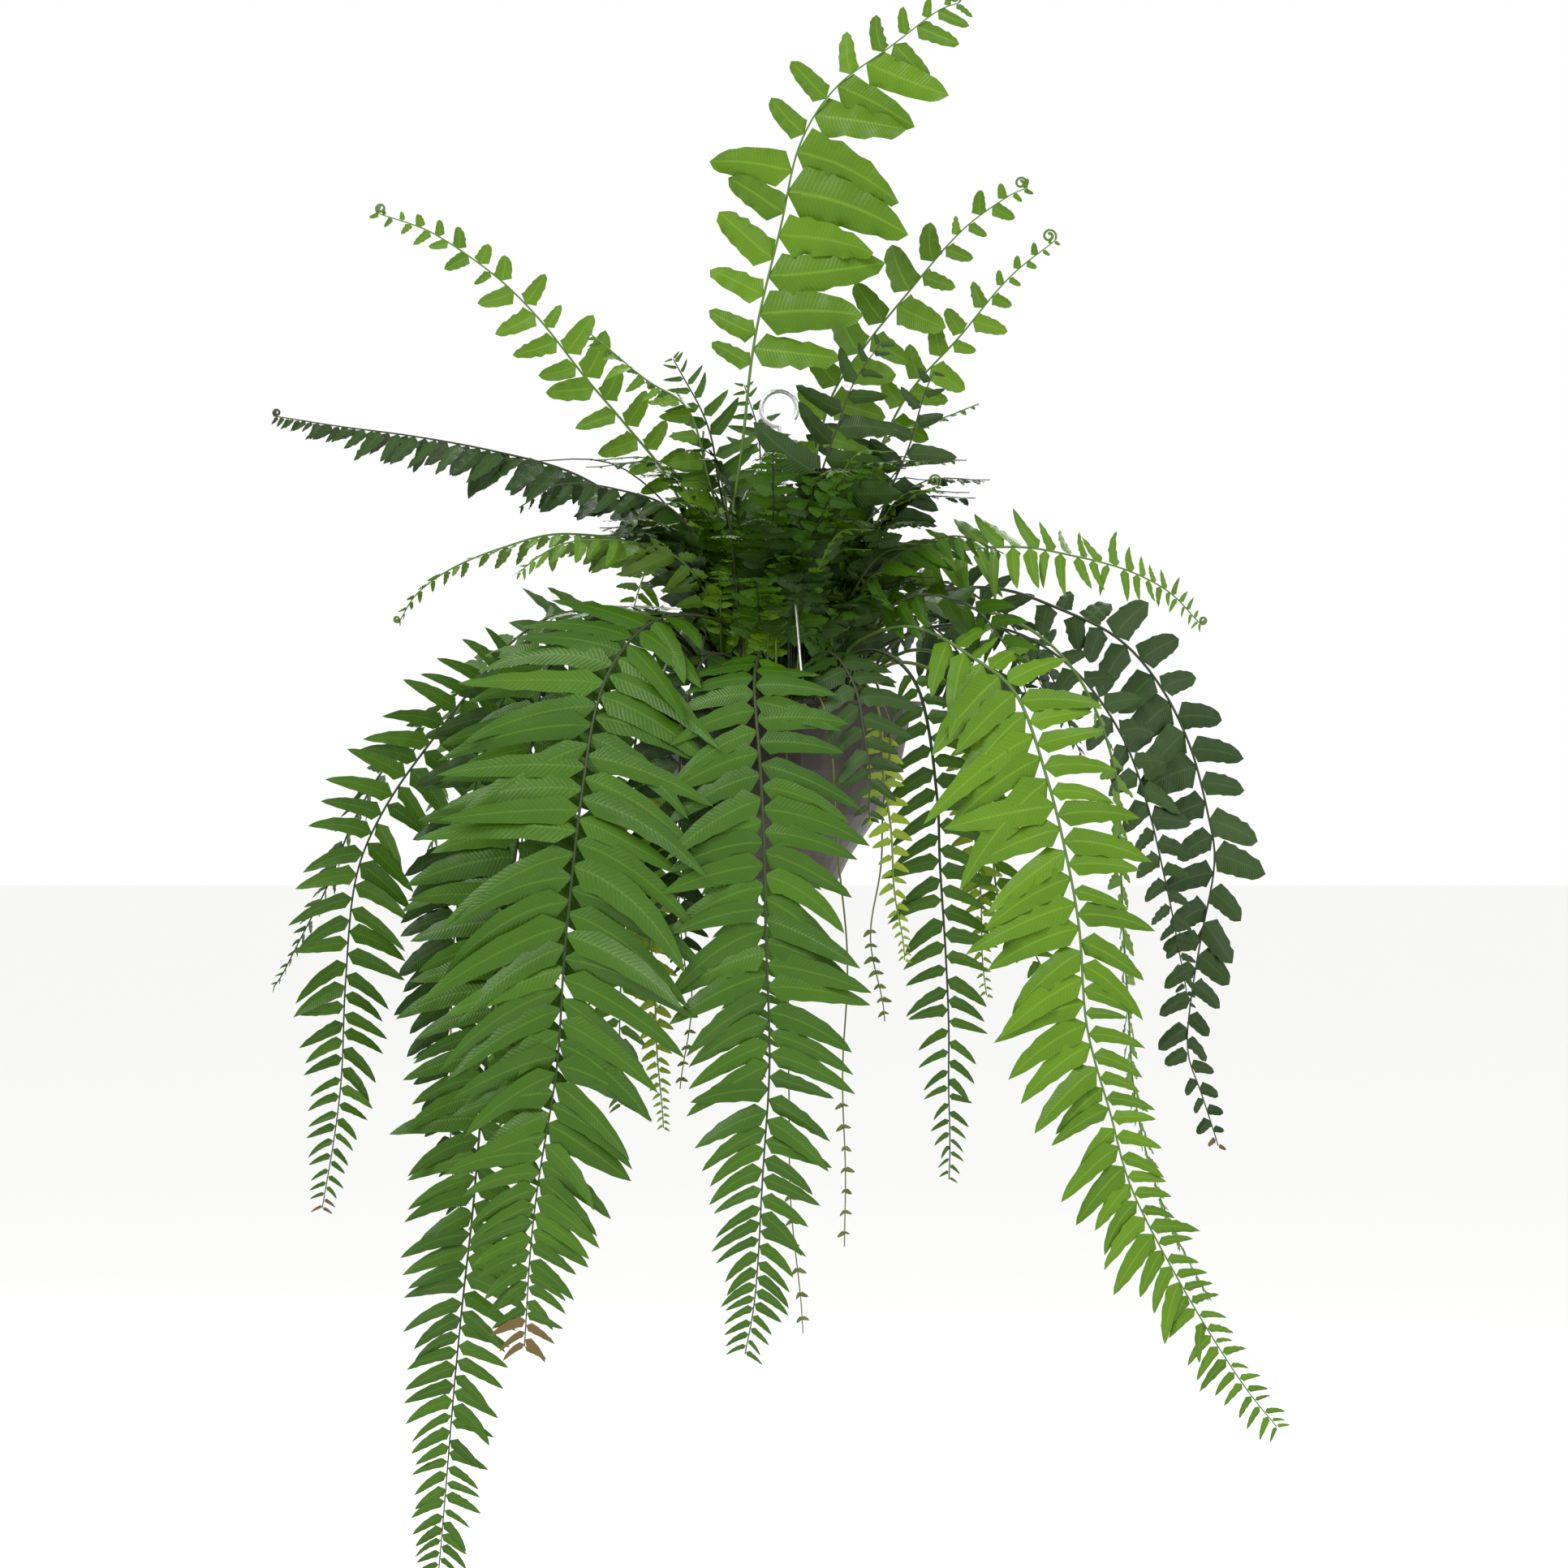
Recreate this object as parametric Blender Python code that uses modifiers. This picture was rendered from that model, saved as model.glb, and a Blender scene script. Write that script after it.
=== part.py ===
"""A sword fern in a hanging pot: a bowl-shaped pot on a three-wire hanger, with its potting
mix, the rhizome crown, the fronds that grow from the crown, and the thin runners.

The origin is where the hook bears on what it hangs from. Z is up, the fern's front faces -Y.
"""
import math

import bmesh
import bpy
from mathutils import Matrix, Vector
from mathutils.bvhtree import BVHTree

MM = 0.001

# Fit between pieces that touch
GAP = 0.3 * MM

# Hook and hanger
HOOK_WIRE = 3.6 * MM
HOOK_INNER_RADIUS = 12.0 * MM
HOOK_END_ANGLE = -35.0
HOOK_STEP_ANGLE = 15.0
CAP_RADIUS = 14.0 * MM
CAP_THICKNESS = 3.0 * MM
CAP_TOP_Z = -36.0 * MM
CAP_SEGMENTS = 24
CAP_EYE_RADIUS = 9.0 * MM
EYE_DIAMETER = 3.2 * MM
WIRE = 2.2 * MM
WIRE_TAIL = 6.0 * MM
WIRE_ANGLES = {"front": -80.0, "right": 40.0, "left": 160.0}

# Pot, turned about Z. Heights are measured from the rim's top face.
RIM_Z = -236.0 * MM
RIM_RADIUS = 110.0 * MM
RIM_WIDTH = 9.0 * MM
RIM_THICKNESS = 3.0 * MM
RIM_EYE_RADIUS = 105.5 * MM
POT_WALL = 2.5 * MM
POT_DEPTH = 140.0 * MM
POT_STEPS = 36
POT_OUTER = [(100.5, -3.0), (98.5, -22.0), (92.0, -52.0), (76.0, -86.0), (54.0, -118.0), (46.0, -134.0), (42.0, -140.0)]
DRAIN_RADIUS = 5.0 * MM
DRAIN_CIRCLE = 24.0 * MM
DRAIN_COUNT = 3

# Potting mix and crown
SOIL_TOP = -10.0 * MM
SOIL_EDGE_TOP = -13.0 * MM
SOIL_FLAT_RADIUS = 80.0 * MM
CROWN_PROFILE = [(0.0, 13.0), (22.0, 12.0), (42.0, 8.0), (58.0, 1.0), (70.0, -9.7)]
CROWN_STEPS = 28

# Fronds
BLADE_THICKNESS = 1.0 * MM
RACHIS_HALF = 1.5 * MM
LEAFLET_CLEARANCE = 1.6 * MM
BASE_LIFT = 0.9 * MM
LEAFLET_SWEEP = 22.0
BLADE_RISE = 0.18
BLADE_FALL = 0.82
BLADE_CURVE = 1.2
TAPER = 0.45
STIPE_SEGMENTS = 4
PATH_STEPS = 400
RUNNER_RADIUS = 0.9 * MM

# Each frond: its path from the crown in millimetres from the rim's centre (the first height is
# the crown's own), the leaflets on each side, their longest reach, the bare share of its length,
# the heading of its right-hand leaflets, how far they droop, and its leaf colour. Where given,
# roll turns the blade about its midrib, taper is the share at which the leaflets start to
# shorten, and open leaves a gap as wide as a leaflet after each one.
FRONDS = {
    "frond_front_left_broad": dict(
        path=[(-25, -15), (-22, -32, 38), (-50, -58, 62), (-96, -92, 58), (-130, -122, 10), (-146, -150, -75),
              (-155, -166, -170), (-162, -173, -260), (-175, -176, -350), (-187, -173, -475)],
        leaflets=20, reach=105, bare=0.16, heading=0, droop=12, leaf="mature"),
    "frond_front_left_long": dict(
        path=[(-46, -12), (-75, -24, 46), (-125, -52, 68), (-172, -82, 25), (-190, -106, -75), (-203, -118, -165),
              (-214, -126, -250), (-226, -132, -370), (-234, -136, -445), (-243, -138, -560), (-255, -137, -668)],
        leaflets=25, reach=78, bare=0.2, heading=0, droop=12, taper=0.2, leaf="mature"),
    "frond_front_centre": dict(
        path=[(-8, -30), (-10, -50, 28), (-14, -85, 36), (-18, -120, 12), (-14, -145, -50), (-10, -158, -140),
              (-8, -163, -225), (-8, -165, -290), (-12, -165, -365), (-19, -162, -440), (-25, -158, -480)],
        leaflets=20, reach=76, bare=0.12, heading=0, droop=14, leaf="mature"),
    "frond_left_hanging": dict(
        path=[(-53, 2), (-67, -1, 40), (-104, -8, 66), (-172, -26, 54), (-222, -38, 20), (-262, -42, -30),
              (-300, -46, -85), (-320, -50, -135), (-326, -52, -210), (-330, -52, -275), (-337, -50, -335),
              (-344, -46, -384)],
        leaflets=17, reach=50, bare=0.3, heading=15, droop=20, leaf="mature"),
    "frond_left_edge": dict(
        path=[(-52, 12), (-75, 22, 42), (-130, 35, 62), (-190, 42, 50), (-248, 45, 8), (-298, 44, -42),
              (-330, 40, -92), (-350, 36, -146), (-380, 32, -205), (-390, 30, -220)],
        leaflets=13, reach=34, bare=0.35, heading=70, droop=30, leaf="mature"),
    "frond_left_behind": dict(
        path=[(-48, -22), (-80, -40, 45), (-140, -58, 60), (-195, -68, 20), (-225, -72, -50), (-240, -74, -150),
              (-247, -74, -250), (-245, -72, -340), (-240, -70, -385)],
        leaflets=15, reach=46, bare=0.3, heading=10, droop=15, leaf="dark"),
    "frond_yellow_left": dict(
        path=[(-45, -40), (-80, -75, 20), (-100, -84, -12), (-101, -82, -70), (-99, -76, -150), (-92, -70, -240),
              (-88, -66, -322)],
        leaflets=13, reach=20, bare=0.35, heading=0, droop=20, leaf="yellow"),
    "frond_right_front": dict(
        path=[(40, -25), (55, -38, 42), (100, -62, 56), (148, -85, 30), (178, -98, 2), (200, -108, -60),
              (213, -114, -115), (222, -118, -170), (228, -120, -240), (246, -120, -305), (262, -118, -365),
              (296, -114, -432), (343, -106, -505), (371, -100, -541)],
        leaflets=21, reach=74, bare=0.16, heading=0, droop=15, taper=0.12, leaf="young"),
    "frond_right_edge": dict(
        path=[(48, -5), (65, -12, 48), (120, -28, 72), (180, -42, 60), (225, -50, 20), (252, -54, -50),
              (258, -56, -130), (262, -58, -220), (266, -60, -290), (280, -62, -350), (300, -62, -405),
              (322, -60, -450)],
        leaflets=15, reach=32, bare=0.35, heading=75, droop=10, leaf="young"),
    "frond_right_arch": dict(
        path=[(55, 8), (68, 4, 50), (95, -4, 92), (133, -12, 114), (182, -20, 118), (224, -26, 110),
              (265, -30, 98), (298, -32, 82), (320, -34, 60)],
        leaflets=16, reach=48, bare=0.2, heading=-80, droop=8, roll=58, taper=0.3, leaf="young"),
    "frond_far_right": dict(
        path=[(58, 28), (75, 34, 48), (120, 42, 84), (170, 48, 88), (216, 52, 73), (262, 55, 50), (296, 56, 12),
              (320, 56, -36), (333, 54, -90), (336, 50, -125), (326, 46, -180), (318, 42, -235), (316, 38, -270),
              (325, 34, -300), (337, 32, -340)],
        leaflets=17, reach=42, bare=0.3, heading=15, droop=30, leaf="dark"),
    "frond_right_middle": dict(
        path=[(50, 16), (72, 14, 38), (120, 12, 58), (175, 8, 55), (225, 4, 25), (260, 0, -22), (283, -4, -86),
              (296, -6, -140), (304, -8, -192), (312, -8, -230)],
        leaflets=13, reach=32, bare=0.35, heading=20, droop=20, leaf="dark"),
    "frond_front_right_short": dict(
        path=[(30, -32), (45, -42, 30), (75, -55, 38), (105, -68, 8), (118, -76, -70), (121, -78, -120),
              (124, -78, -190), (128, -78, -250), (127, -76, -300), (127, -74, -358)],
        leaflets=17, reach=40, bare=0.2, heading=0, droop=18, leaf="mature"),
    "frond_yellow_centre": dict(
        path=[(20, -42), (50, -72, 18), (72, -92, 0), (80, -98, -70), (86, -98, -133), (93, -96, -195)],
        leaflets=11, reach=16, bare=0.35, heading=0, droop=20, leaf="yellow"),
    "frond_yellow_right": dict(
        path=[(52, -15), (90, -20, 30), (130, -26, 10), (146, -30, -60), (150, -30, -115), (157, -28, -223)],
        leaflets=11, reach=18, bare=0.4, heading=0, droop=20, leaf="yellow"),
    "frond_right_low": dict(
        path=[(45, 30), (100, 20, 40), (140, 12, 20), (160, 5, -60), (168, 0, -150), (190, -5, -185),
              (210, -8, -226), (228, -10, -276)],
        leaflets=13, reach=26, bare=0.3, heading=0, droop=20, leaf="young"),
    "frond_tall_centre": dict(
        path=[(-30, -10), (-37, -16, 115), (-29, -20, 189), (-19, -24, 270), (0, -28, 357), (15, -30, 419),
              (43, -30, 465), (81, -28, 496), (118, -24, 524), (136, -20, 531)],
        leaflets=11, reach=74, bare=0.42, heading=0, droop=25, open=True, leaf="young"),
    "frond_tall_right": dict(
        path=[(5, 5), (8, 8, 60), (20, 10, 140), (37, 12, 226), (68, 14, 276), (105, 16, 322), (143, 18, 363),
              (174, 18, 388), (187, 18, 395)],
        leaflets=10, reach=40, bare=0.4, heading=10, droop=10, open=True, leaf="young"),
    "frond_tall_far_right": dict(
        path=[(30, 18), (42, 22, 70), (62, 26, 152), (81, 30, 202), (105, 33, 245), (143, 36, 288), (180, 38, 329),
              (211, 38, 355)],
        leaflets=10, reach=26, bare=0.4, heading=10, droop=10, open=True, leaf="young"),
    "frond_tall_left": dict(
        path=[(-28, 18), (-45, 22, 80), (-81, 26, 164), (-118, 28, 214), (-149, 30, 251), (-186, 32, 295),
              (-223, 33, 332), (-267, 34, 363), (-310, 34, 378)],
        leaflets=11, reach=34, bare=0.35, heading=10, droop=15, open=True, leaf="young"),
    "frond_left_level": dict(
        path=[(-35, 34), (-50, 40, 70), (-78, 46, 118), (-112, 50, 148), (-161, 55, 178), (-223, 58, 196),
              (-285, 60, 208), (-347, 60, 215), (-391, 58, 221)],
        leaflets=16, reach=46, bare=0.3, heading=80, droop=55, leaf="dark"),
    "frond_left_upper": dict(
        path=[(-45, -2), (-62, -4, 60), (-99, -8, 115), (-161, -14, 128), (-211, -18, 116), (-248, -20, 102),
              (-273, -22, 84), (-288, -22, 62)],
        leaflets=13, reach=28, bare=0.35, heading=60, droop=30, leaf="young"),
    "frond_upright_front": dict(
        path=[(12, -18), (20, -30, 80), (30, -42, 160), (48, -52, 220), (75, -58, 268)],
        leaflets=10, reach=60, bare=0.3, heading=0, droop=25, leaf="dark"),
    "frond_upright_right": dict(
        path=[(25, 0), (55, -8, 90), (85, -14, 160), (105, -18, 215), (118, -20, 250)],
        leaflets=10, reach=44, bare=0.3, heading=5, droop=20, leaf="dark"),
    "frond_upright_back": dict(
        path=[(10, 30), (22, 48, 100), (42, 62, 180), (62, 72, 240)],
        leaflets=10, reach=50, bare=0.3, heading=-10, droop=20, leaf="dark"),
    "frond_upright_left": dict(
        path=[(-14, 12), (-30, 8, 90), (-45, 6, 165), (-58, 4, 220), (-82, 2, 262)],
        leaflets=10, reach=44, bare=0.3, heading=0, droop=15, leaf="mature"),
    "frond_upper_left": dict(
        path=[(-18, 0), (-34, -6, 90), (-52, -10, 165), (-70, -12, 222), (-100, -14, 246), (-146, -16, 280)],
        leaflets=11, reach=40, bare=0.35, heading=60, droop=50, leaf="young"),
    "frond_left_dark": dict(
        path=[(-40, -18), (-52, -20, 80), (-75, -22, 140), (-124, -26, 162), (-166, -28, 164), (-198, -30, 146)],
        leaflets=11, reach=34, bare=0.35, heading=60, droop=40, leaf="dark"),
    "frond_left_bright": dict(
        path=[(-35, -26), (-44, -38, 60), (-72, -52, 104), (-110, -62, 120), (-158, -70, 118), (-195, -74, 96)],
        leaflets=11, reach=44, bare=0.3, heading=-50, droop=30, leaf="young"),
    "frond_right_sprig": dict(
        path=[(35, 5), (52, 4, 110), (66, 4, 170), (88, 4, 205), (118, 4, 216), (152, 4, 228)],
        leaflets=9, reach=16, bare=0.5, heading=80, droop=15, leaf="young"),
    "frond_right_curl": dict(
        path=[(42, -10), (55, -18, 80), (74, -24, 136), (99, -28, 154), (121, -28, 162)],
        leaflets=9, reach=18, bare=0.45, heading=80, droop=20, leaf="young"),
    "frond_right_back": dict(
        path=[(50, 30), (84, 46, 70), (128, 62, 94), (167, 72, 74), (192, 78, 42), (206, 80, 12)],
        leaflets=11, reach=34, bare=0.3, heading=10, droop=30, leaf="dark"),
    "frond_right_inner": dict(
        path=[(36, -18), (62, -34, 54), (104, -52, 80), (144, -66, 70), (172, -74, 38), (186, -78, 2)],
        leaflets=13, reach=46, bare=0.3, heading=-40, droop=28, leaf="mature"),
    "frond_right_top": dict(
        path=[(33, -13), (52, -30, 70), (92, -45, 112), (132, -56, 124), (168, -62, 110)],
        leaflets=12, reach=42, bare=0.35, heading=-60, droop=42, leaf="mature"),
    "frond_front_fill": dict(
        path=[(-20, -38), (-35, -62, 32), (-56, -95, 30), (-70, -120, -12), (-74, -130, -80), (-73, -134, -150),
              (-70, -134, -205)],
        leaflets=13, reach=44, bare=0.2, heading=0, droop=15, leaf="dark"),
    "frond_front_right_fill": dict(
        path=[(12, -40), (28, -66, 34), (46, -98, 30), (60, -120, -5), (66, -128, -50), (68, -130, -88)],
        leaflets=10, reach=44, bare=0.2, heading=0, droop=15, leaf="dark"),
    "frond_back_middle": dict(
        path=[(0, 45), (0, 75, 55), (-5, 125, 70), (-10, 165, 20), (-15, 185, -80), (-18, 190, -180),
              (-20, 188, -290)],
        leaflets=15, reach=66, bare=0.15, heading=180, droop=14, leaf="mature"),
    "frond_back_left": dict(
        path=[(-16, 44), (-40, 85, 60), (-75, 140, 75), (-105, 180, 25), (-120, 202, -70), (-126, 208, -190),
              (-128, 204, -320)],
        leaflets=16, reach=66, bare=0.15, heading=170, droop=14, leaf="mature"),
    "frond_back_far_left": dict(
        path=[(-34, 44), (-80, 92, 64), (-140, 142, 66), (-182, 172, 10), (-202, 182, -80), (-212, 184, -200),
              (-214, 178, -350)],
        leaflets=16, reach=60, bare=0.2, heading=160, droop=14, leaf="mature"),
    "frond_back_right": dict(
        path=[(16, 46), (32, 92, 62), (48, 148, 72), (55, 188, 20), (58, 200, -45), (58, 198, -100)],
        leaflets=11, reach=46, bare=0.2, heading=190, droop=14, leaf="mature"),
    "frond_back_far_right": dict(
        path=[(34, 44), (62, 80, 60), (98, 114, 72), (142, 148, 42), (166, 164, -20), (176, 168, -90)],
        leaflets=12, reach=42, bare=0.25, heading=215, droop=14, leaf="dark"),
    "frond_back_side_right": dict(
        path=[(54, 38), (88, 64, 46), (128, 92, 62), (176, 112, 58), (215, 126, 20), (238, 132, -40)],
        leaflets=11, reach=36, bare=0.3, heading=235, droop=16, leaf="dark"),
    "frond_back_side_left": dict(
        path=[(-52, 28), (-84, 50, 46), (-125, 74, 70), (-184, 98, 66), (-236, 116, 18), (-264, 124, -60),
              (-278, 124, -130)],
        leaflets=13, reach=40, bare=0.3, heading=125, droop=16, leaf="mature"),
    "frond_back_upright": dict(
        path=[(-2, 30), (-8, 58, 110), (-14, 82, 190), (-26, 100, 250)],
        leaflets=10, reach=44, bare=0.3, heading=175, droop=18, leaf="mature"),
    "frond_back_high": dict(
        path=[(8, 40), (20, 82, 98), (35, 128, 146), (50, 168, 156), (60, 202, 128), (66, 226, 88)],
        leaflets=12, reach=48, bare=0.3, heading=190, droop=16, leaf="young"),
    "frond_back_high_left": dict(
        path=[(-12, 36), (-32, 76, 95), (-62, 122, 138), (-88, 162, 142), (-106, 192, 112), (-118, 212, 72)],
        leaflets=12, reach=48, bare=0.3, heading=160, droop=16, leaf="young"),
}

# Each runner: its path in millimetres from the rim's centre (the first height is the crown's own)
RUNNERS = {
    "runner_front": [(6, -62), (14, -90, 10), (34, -122, -10), (45, -126, -120), (50, -124, -220), (47, -126, -320),
                     (50, -124, -405)],
    "runner_right": [(40, -50), (62, -78, 12), (82, -98, -20), (76, -88, -110), (70, -84, -180), (78, -82, -240)],
    "runner_left": [(-40, -54), (-54, -88, 14), (-66, -108, -20), (-70, -100, -140), (-66, -98, -210),
                    (-72, -96, -290)],
    "runner_centre": [(-16, -64), (-8, -94, 12), (4, -124, -14), (10, -118, -150), (6, -116, -300), (14, -118, -420),
                      (16, -118, -470)],
}

LEAF_COLOURS = {
    "mature": (0.030, 0.115, 0.008),
    "dark": (0.014, 0.050, 0.008),
    "young": (0.085, 0.235, 0.012),
    "yellow": (0.210, 0.300, 0.015),
}


def clear_scene():
    for item in list(bpy.data.objects):
        bpy.data.objects.remove(item, do_unlink=True)


def new_collection(name):
    group = bpy.data.collections.new(name)
    bpy.context.scene.collection.children.link(group)
    return group


def new_material(name, colour, roughness, metallic=0.0):
    material = bpy.data.materials.new(name)
    material.use_nodes = True
    shader = material.node_tree.nodes["Principled BSDF"]
    shader.inputs["Base Color"].default_value = (*colour, 1.0)
    shader.inputs["Roughness"].default_value = roughness
    shader.inputs["Metallic"].default_value = metallic
    material.diffuse_color = (*colour, 1.0)
    return material


def add_object(name, data, group, material):
    item = bpy.data.objects.new(name, data)
    group.objects.link(item)
    data.materials.append(material)
    return item


def mesh_from(name, points, faces):
    mesh = bpy.data.meshes.new(name)
    mesh.from_pydata(points, [], faces)
    mesh.update()
    return mesh


def turned(name, profile, steps, group, material):
    """Turn a profile about Z; it runs from the axis over the outside and back to the axis."""
    edges = [(i, i + 1) for i in range(len(profile) - 1)]
    mesh = bpy.data.meshes.new(name)
    mesh.from_pydata([(r, 0.0, z) for r, z in profile], edges, [])
    item = add_object(name, mesh, group, material)
    screw = item.modifiers.new("turn", "SCREW")
    screw.steps = steps
    screw.render_steps = steps
    screw.use_merge_vertices = True
    screw.merge_threshold = 0.00005
    return item


def cut(item, cutter, name):
    boolean = item.modifiers.new(name, "BOOLEAN")
    boolean.operation = "DIFFERENCE"
    boolean.solver = "EXACT"
    boolean.object = cutter


def drill_tool(name, places, radius, height, group, segments=16):
    """One cutter of upright cylinders at the given points."""
    shape = bmesh.new()
    for place in places:
        bmesh.ops.create_cone(shape, cap_ends=True, segments=segments, radius1=radius, radius2=radius, depth=height,
                              matrix=Matrix.Translation(place))
    mesh = bpy.data.meshes.new(name)
    shape.to_mesh(mesh)
    shape.free()
    item = bpy.data.objects.new(name, mesh)
    group.objects.link(item)
    item.hide_render = True
    item.display_type = "WIRE"
    return item


def around(radius, degrees, z):
    angle = math.radians(degrees)
    return Vector((radius * math.cos(angle), radius * math.sin(angle), z))


def bent_wire(name, points, radius, resolution, group, material):
    curve = bpy.data.curves.new(name, "CURVE")
    curve.dimensions = "3D"
    curve.bevel_depth = radius
    curve.bevel_resolution = resolution
    curve.use_fill_caps = True
    spline = curve.splines.new("POLY")
    spline.points.add(len(points) - 1)
    for place, point in zip(spline.points, points):
        place.co = (*point, 1.0)
        place.radius = 1.0
    return add_object(name, curve, group, material)


def smooth_path(points, count):
    """Even points along a Catmull-Rom curve through the given ones."""
    knots = [points[0] * 2 - points[1], *points, points[-1] * 2 - points[-2]]
    fine = []
    for i in range(1, len(knots) - 2):
        before, start, end, after = knots[i - 1:i + 3]
        for step in range(16):
            t = step / 16
            fine.append(0.5 * (2 * start + (end - before) * t + (2 * before - 5 * start + 4 * end - after) * t ** 2
                               + (3 * start - before - 3 * end + after) * t ** 3))
    fine.append(points[-1].copy())
    travelled = [0.0]
    for a, b in zip(fine, fine[1:]):
        travelled.append(travelled[-1] + (b - a).length)
    result = []
    place = 0
    for i in range(count + 1):
        target = travelled[-1] * i / count
        while place < len(fine) - 2 and travelled[place + 1] < target:
            place += 1
        span = travelled[place + 1] - travelled[place]
        share = (target - travelled[place]) / span if span else 0.0
        result.append(fine[place].lerp(fine[place + 1], min(1.0, share)))
    return result


def crown_height(x, y):
    """The crown's surface height in millimetres above the rim, at a point in millimetres."""
    reach = math.hypot(x, y)
    for (r0, z0), (r1, z1) in zip(CROWN_PROFILE, CROWN_PROFILE[1:]):
        if reach <= r1:
            return z0 + (z1 - z0) * (reach - r0) / (r1 - r0)
    return CROWN_PROFILE[-1][1]


def path_points(path, lift):
    """A path in metres, its first point set on the crown."""
    first = (path[0][0], path[0][1], crown_height(path[0][0], path[0][1]) + lift)
    return [Vector(p) * MM + Vector((0, 0, RIM_Z)) for p in (first, *path[1:])]


def pot_inner_profile(clearance):
    """The pot's inside, from its floor's edge up to the rim, pulled in by a clearance."""
    inside = [(r * MM - POT_WALL - clearance, z * MM) for r, z in POT_OUTER[:-1]]
    floor = -POT_DEPTH + POT_WALL + clearance
    lowest_r = POT_OUTER[-1][0] * MM - POT_WALL - clearance
    return [*inside, (lowest_r, floor)]


def build_pot(group, tools, material):
    outside = [(RIM_RADIUS, 0.0), (RIM_RADIUS, -RIM_THICKNESS)] + [(r * MM, z * MM) for r, z in POT_OUTER]
    inside = pot_inner_profile(0.0)
    profile = [(0.0, -POT_DEPTH + POT_WALL), inside[-1], *reversed(inside[1:-1]),
               (POT_OUTER[0][0] * MM - POT_WALL, 0.0), *outside, (0.0, -POT_DEPTH)]
    pot = turned("pot", [(r, z + RIM_Z) for r, z in profile], POT_STEPS, group, material)
    eyes = [around(RIM_EYE_RADIUS, angle, RIM_Z) for angle in WIRE_ANGLES.values()]
    cut(pot, drill_tool("rim_eye_drill", eyes, EYE_DIAMETER / 2, 0.02, tools), "rim_eyes")
    drains = [around(DRAIN_CIRCLE, 360 * i / DRAIN_COUNT, RIM_Z - POT_DEPTH) for i in range(DRAIN_COUNT)]
    cut(pot, drill_tool("drain_drill", drains, DRAIN_RADIUS, 0.02, tools), "drains")
    return pot


def build_potting_mix(group, material):
    walls = pot_inner_profile(GAP)[1:]
    top = [(0.0, SOIL_TOP), (SOIL_FLAT_RADIUS, SOIL_TOP), (98.0 * MM - POT_WALL - GAP, SOIL_EDGE_TOP)]
    profile = [*top, *walls, (0.0, walls[-1][1])]
    return turned("potting_mix", [(r, z + RIM_Z) for r, z in profile], POT_STEPS, group, material)


def build_crown(group, material):
    profile = [(r * MM, z * MM + RIM_Z) for r, z in CROWN_PROFILE]
    profile.append((0.0, profile[-1][1]))
    return turned("rhizome_crown", profile, CROWN_STEPS, group, material)


def build_hook(group, material):
    radius = HOOK_INNER_RADIUS + HOOK_WIRE / 2
    centre = Vector((0, 0, -HOOK_INNER_RADIUS))
    under = CAP_TOP_Z - CAP_THICKNESS - GAP - HOOK_WIRE / 2
    points = [Vector((-7.0 * MM, 0, under)), Vector((-2.0 * MM, 0, under)), Vector((-0.5 * MM, 0, under + 0.5 * MM)),
              Vector((0, 0, under + 2.0 * MM))]
    total = 270.0 - HOOK_END_ANGLE
    steps = round(total / HOOK_STEP_ANGLE)
    for i in range(steps + 1):
        angle = math.radians(-90.0 - total * i / steps)
        points.append(centre + Vector((radius * math.cos(angle), 0, radius * math.sin(angle))))
    return bent_wire("hanger_hook", points, HOOK_WIRE / 2, 2, group, material)


def build_cap(group, tools, material):
    shape = bmesh.new()
    middle = Vector((0, 0, CAP_TOP_Z - CAP_THICKNESS / 2))
    bmesh.ops.create_cone(shape, cap_ends=True, segments=CAP_SEGMENTS, radius1=CAP_RADIUS, radius2=CAP_RADIUS,
                          depth=CAP_THICKNESS, matrix=Matrix.Translation(middle))
    mesh = bpy.data.meshes.new("hanger_cap")
    shape.to_mesh(mesh)
    shape.free()
    cap = add_object("hanger_cap", mesh, group, material)
    eyes = [around(CAP_EYE_RADIUS, angle, middle.z) for angle in WIRE_ANGLES.values()]
    cut(cap, drill_tool("cap_eye_drill", eyes, EYE_DIAMETER / 2, 0.02, tools), "eyes")
    cut(cap, drill_tool("hook_drill", [middle], HOOK_WIRE / 2 + GAP, 0.02, tools), "hook_hole")
    return cap


def build_wire(name, angle, group, material):
    """A straight wire whose bent ends pass through the cap's eye and the rim's eye."""
    above = CAP_TOP_Z + GAP + WIRE / 2
    beneath = RIM_Z - RIM_THICKNESS - GAP - WIRE / 2
    points = [
        around(CAP_EYE_RADIUS - WIRE_TAIL, angle + 38.0, above),
        around(CAP_EYE_RADIUS, angle, above),
        around(CAP_EYE_RADIUS, angle, CAP_TOP_Z - CAP_THICKNESS - 2.0 * MM),
        around(CAP_EYE_RADIUS + 2.0 * MM, angle, CAP_TOP_Z - CAP_THICKNESS - 6.0 * MM),
        around(RIM_EYE_RADIUS - 2.0 * MM, angle, RIM_Z + 6.0 * MM),
        around(RIM_EYE_RADIUS, angle, RIM_Z + 2.0 * MM),
        around(RIM_EYE_RADIUS, angle, beneath),
        around(RIM_EYE_RADIUS + WIRE_TAIL, angle, beneath),
    ]
    return bent_wire(name, points, WIRE / 2, 1, group, material)


def envelope(share, taper):
    """How long a leaflet is at this share of the blade, as a part of the longest."""
    rise = 0.6 + 0.4 * min(1.0, share / BLADE_RISE)
    fall = 1.0 - BLADE_FALL * max(0.0, (share - taper) / (1.0 - taper)) ** BLADE_CURVE
    return rise * fall


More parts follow.
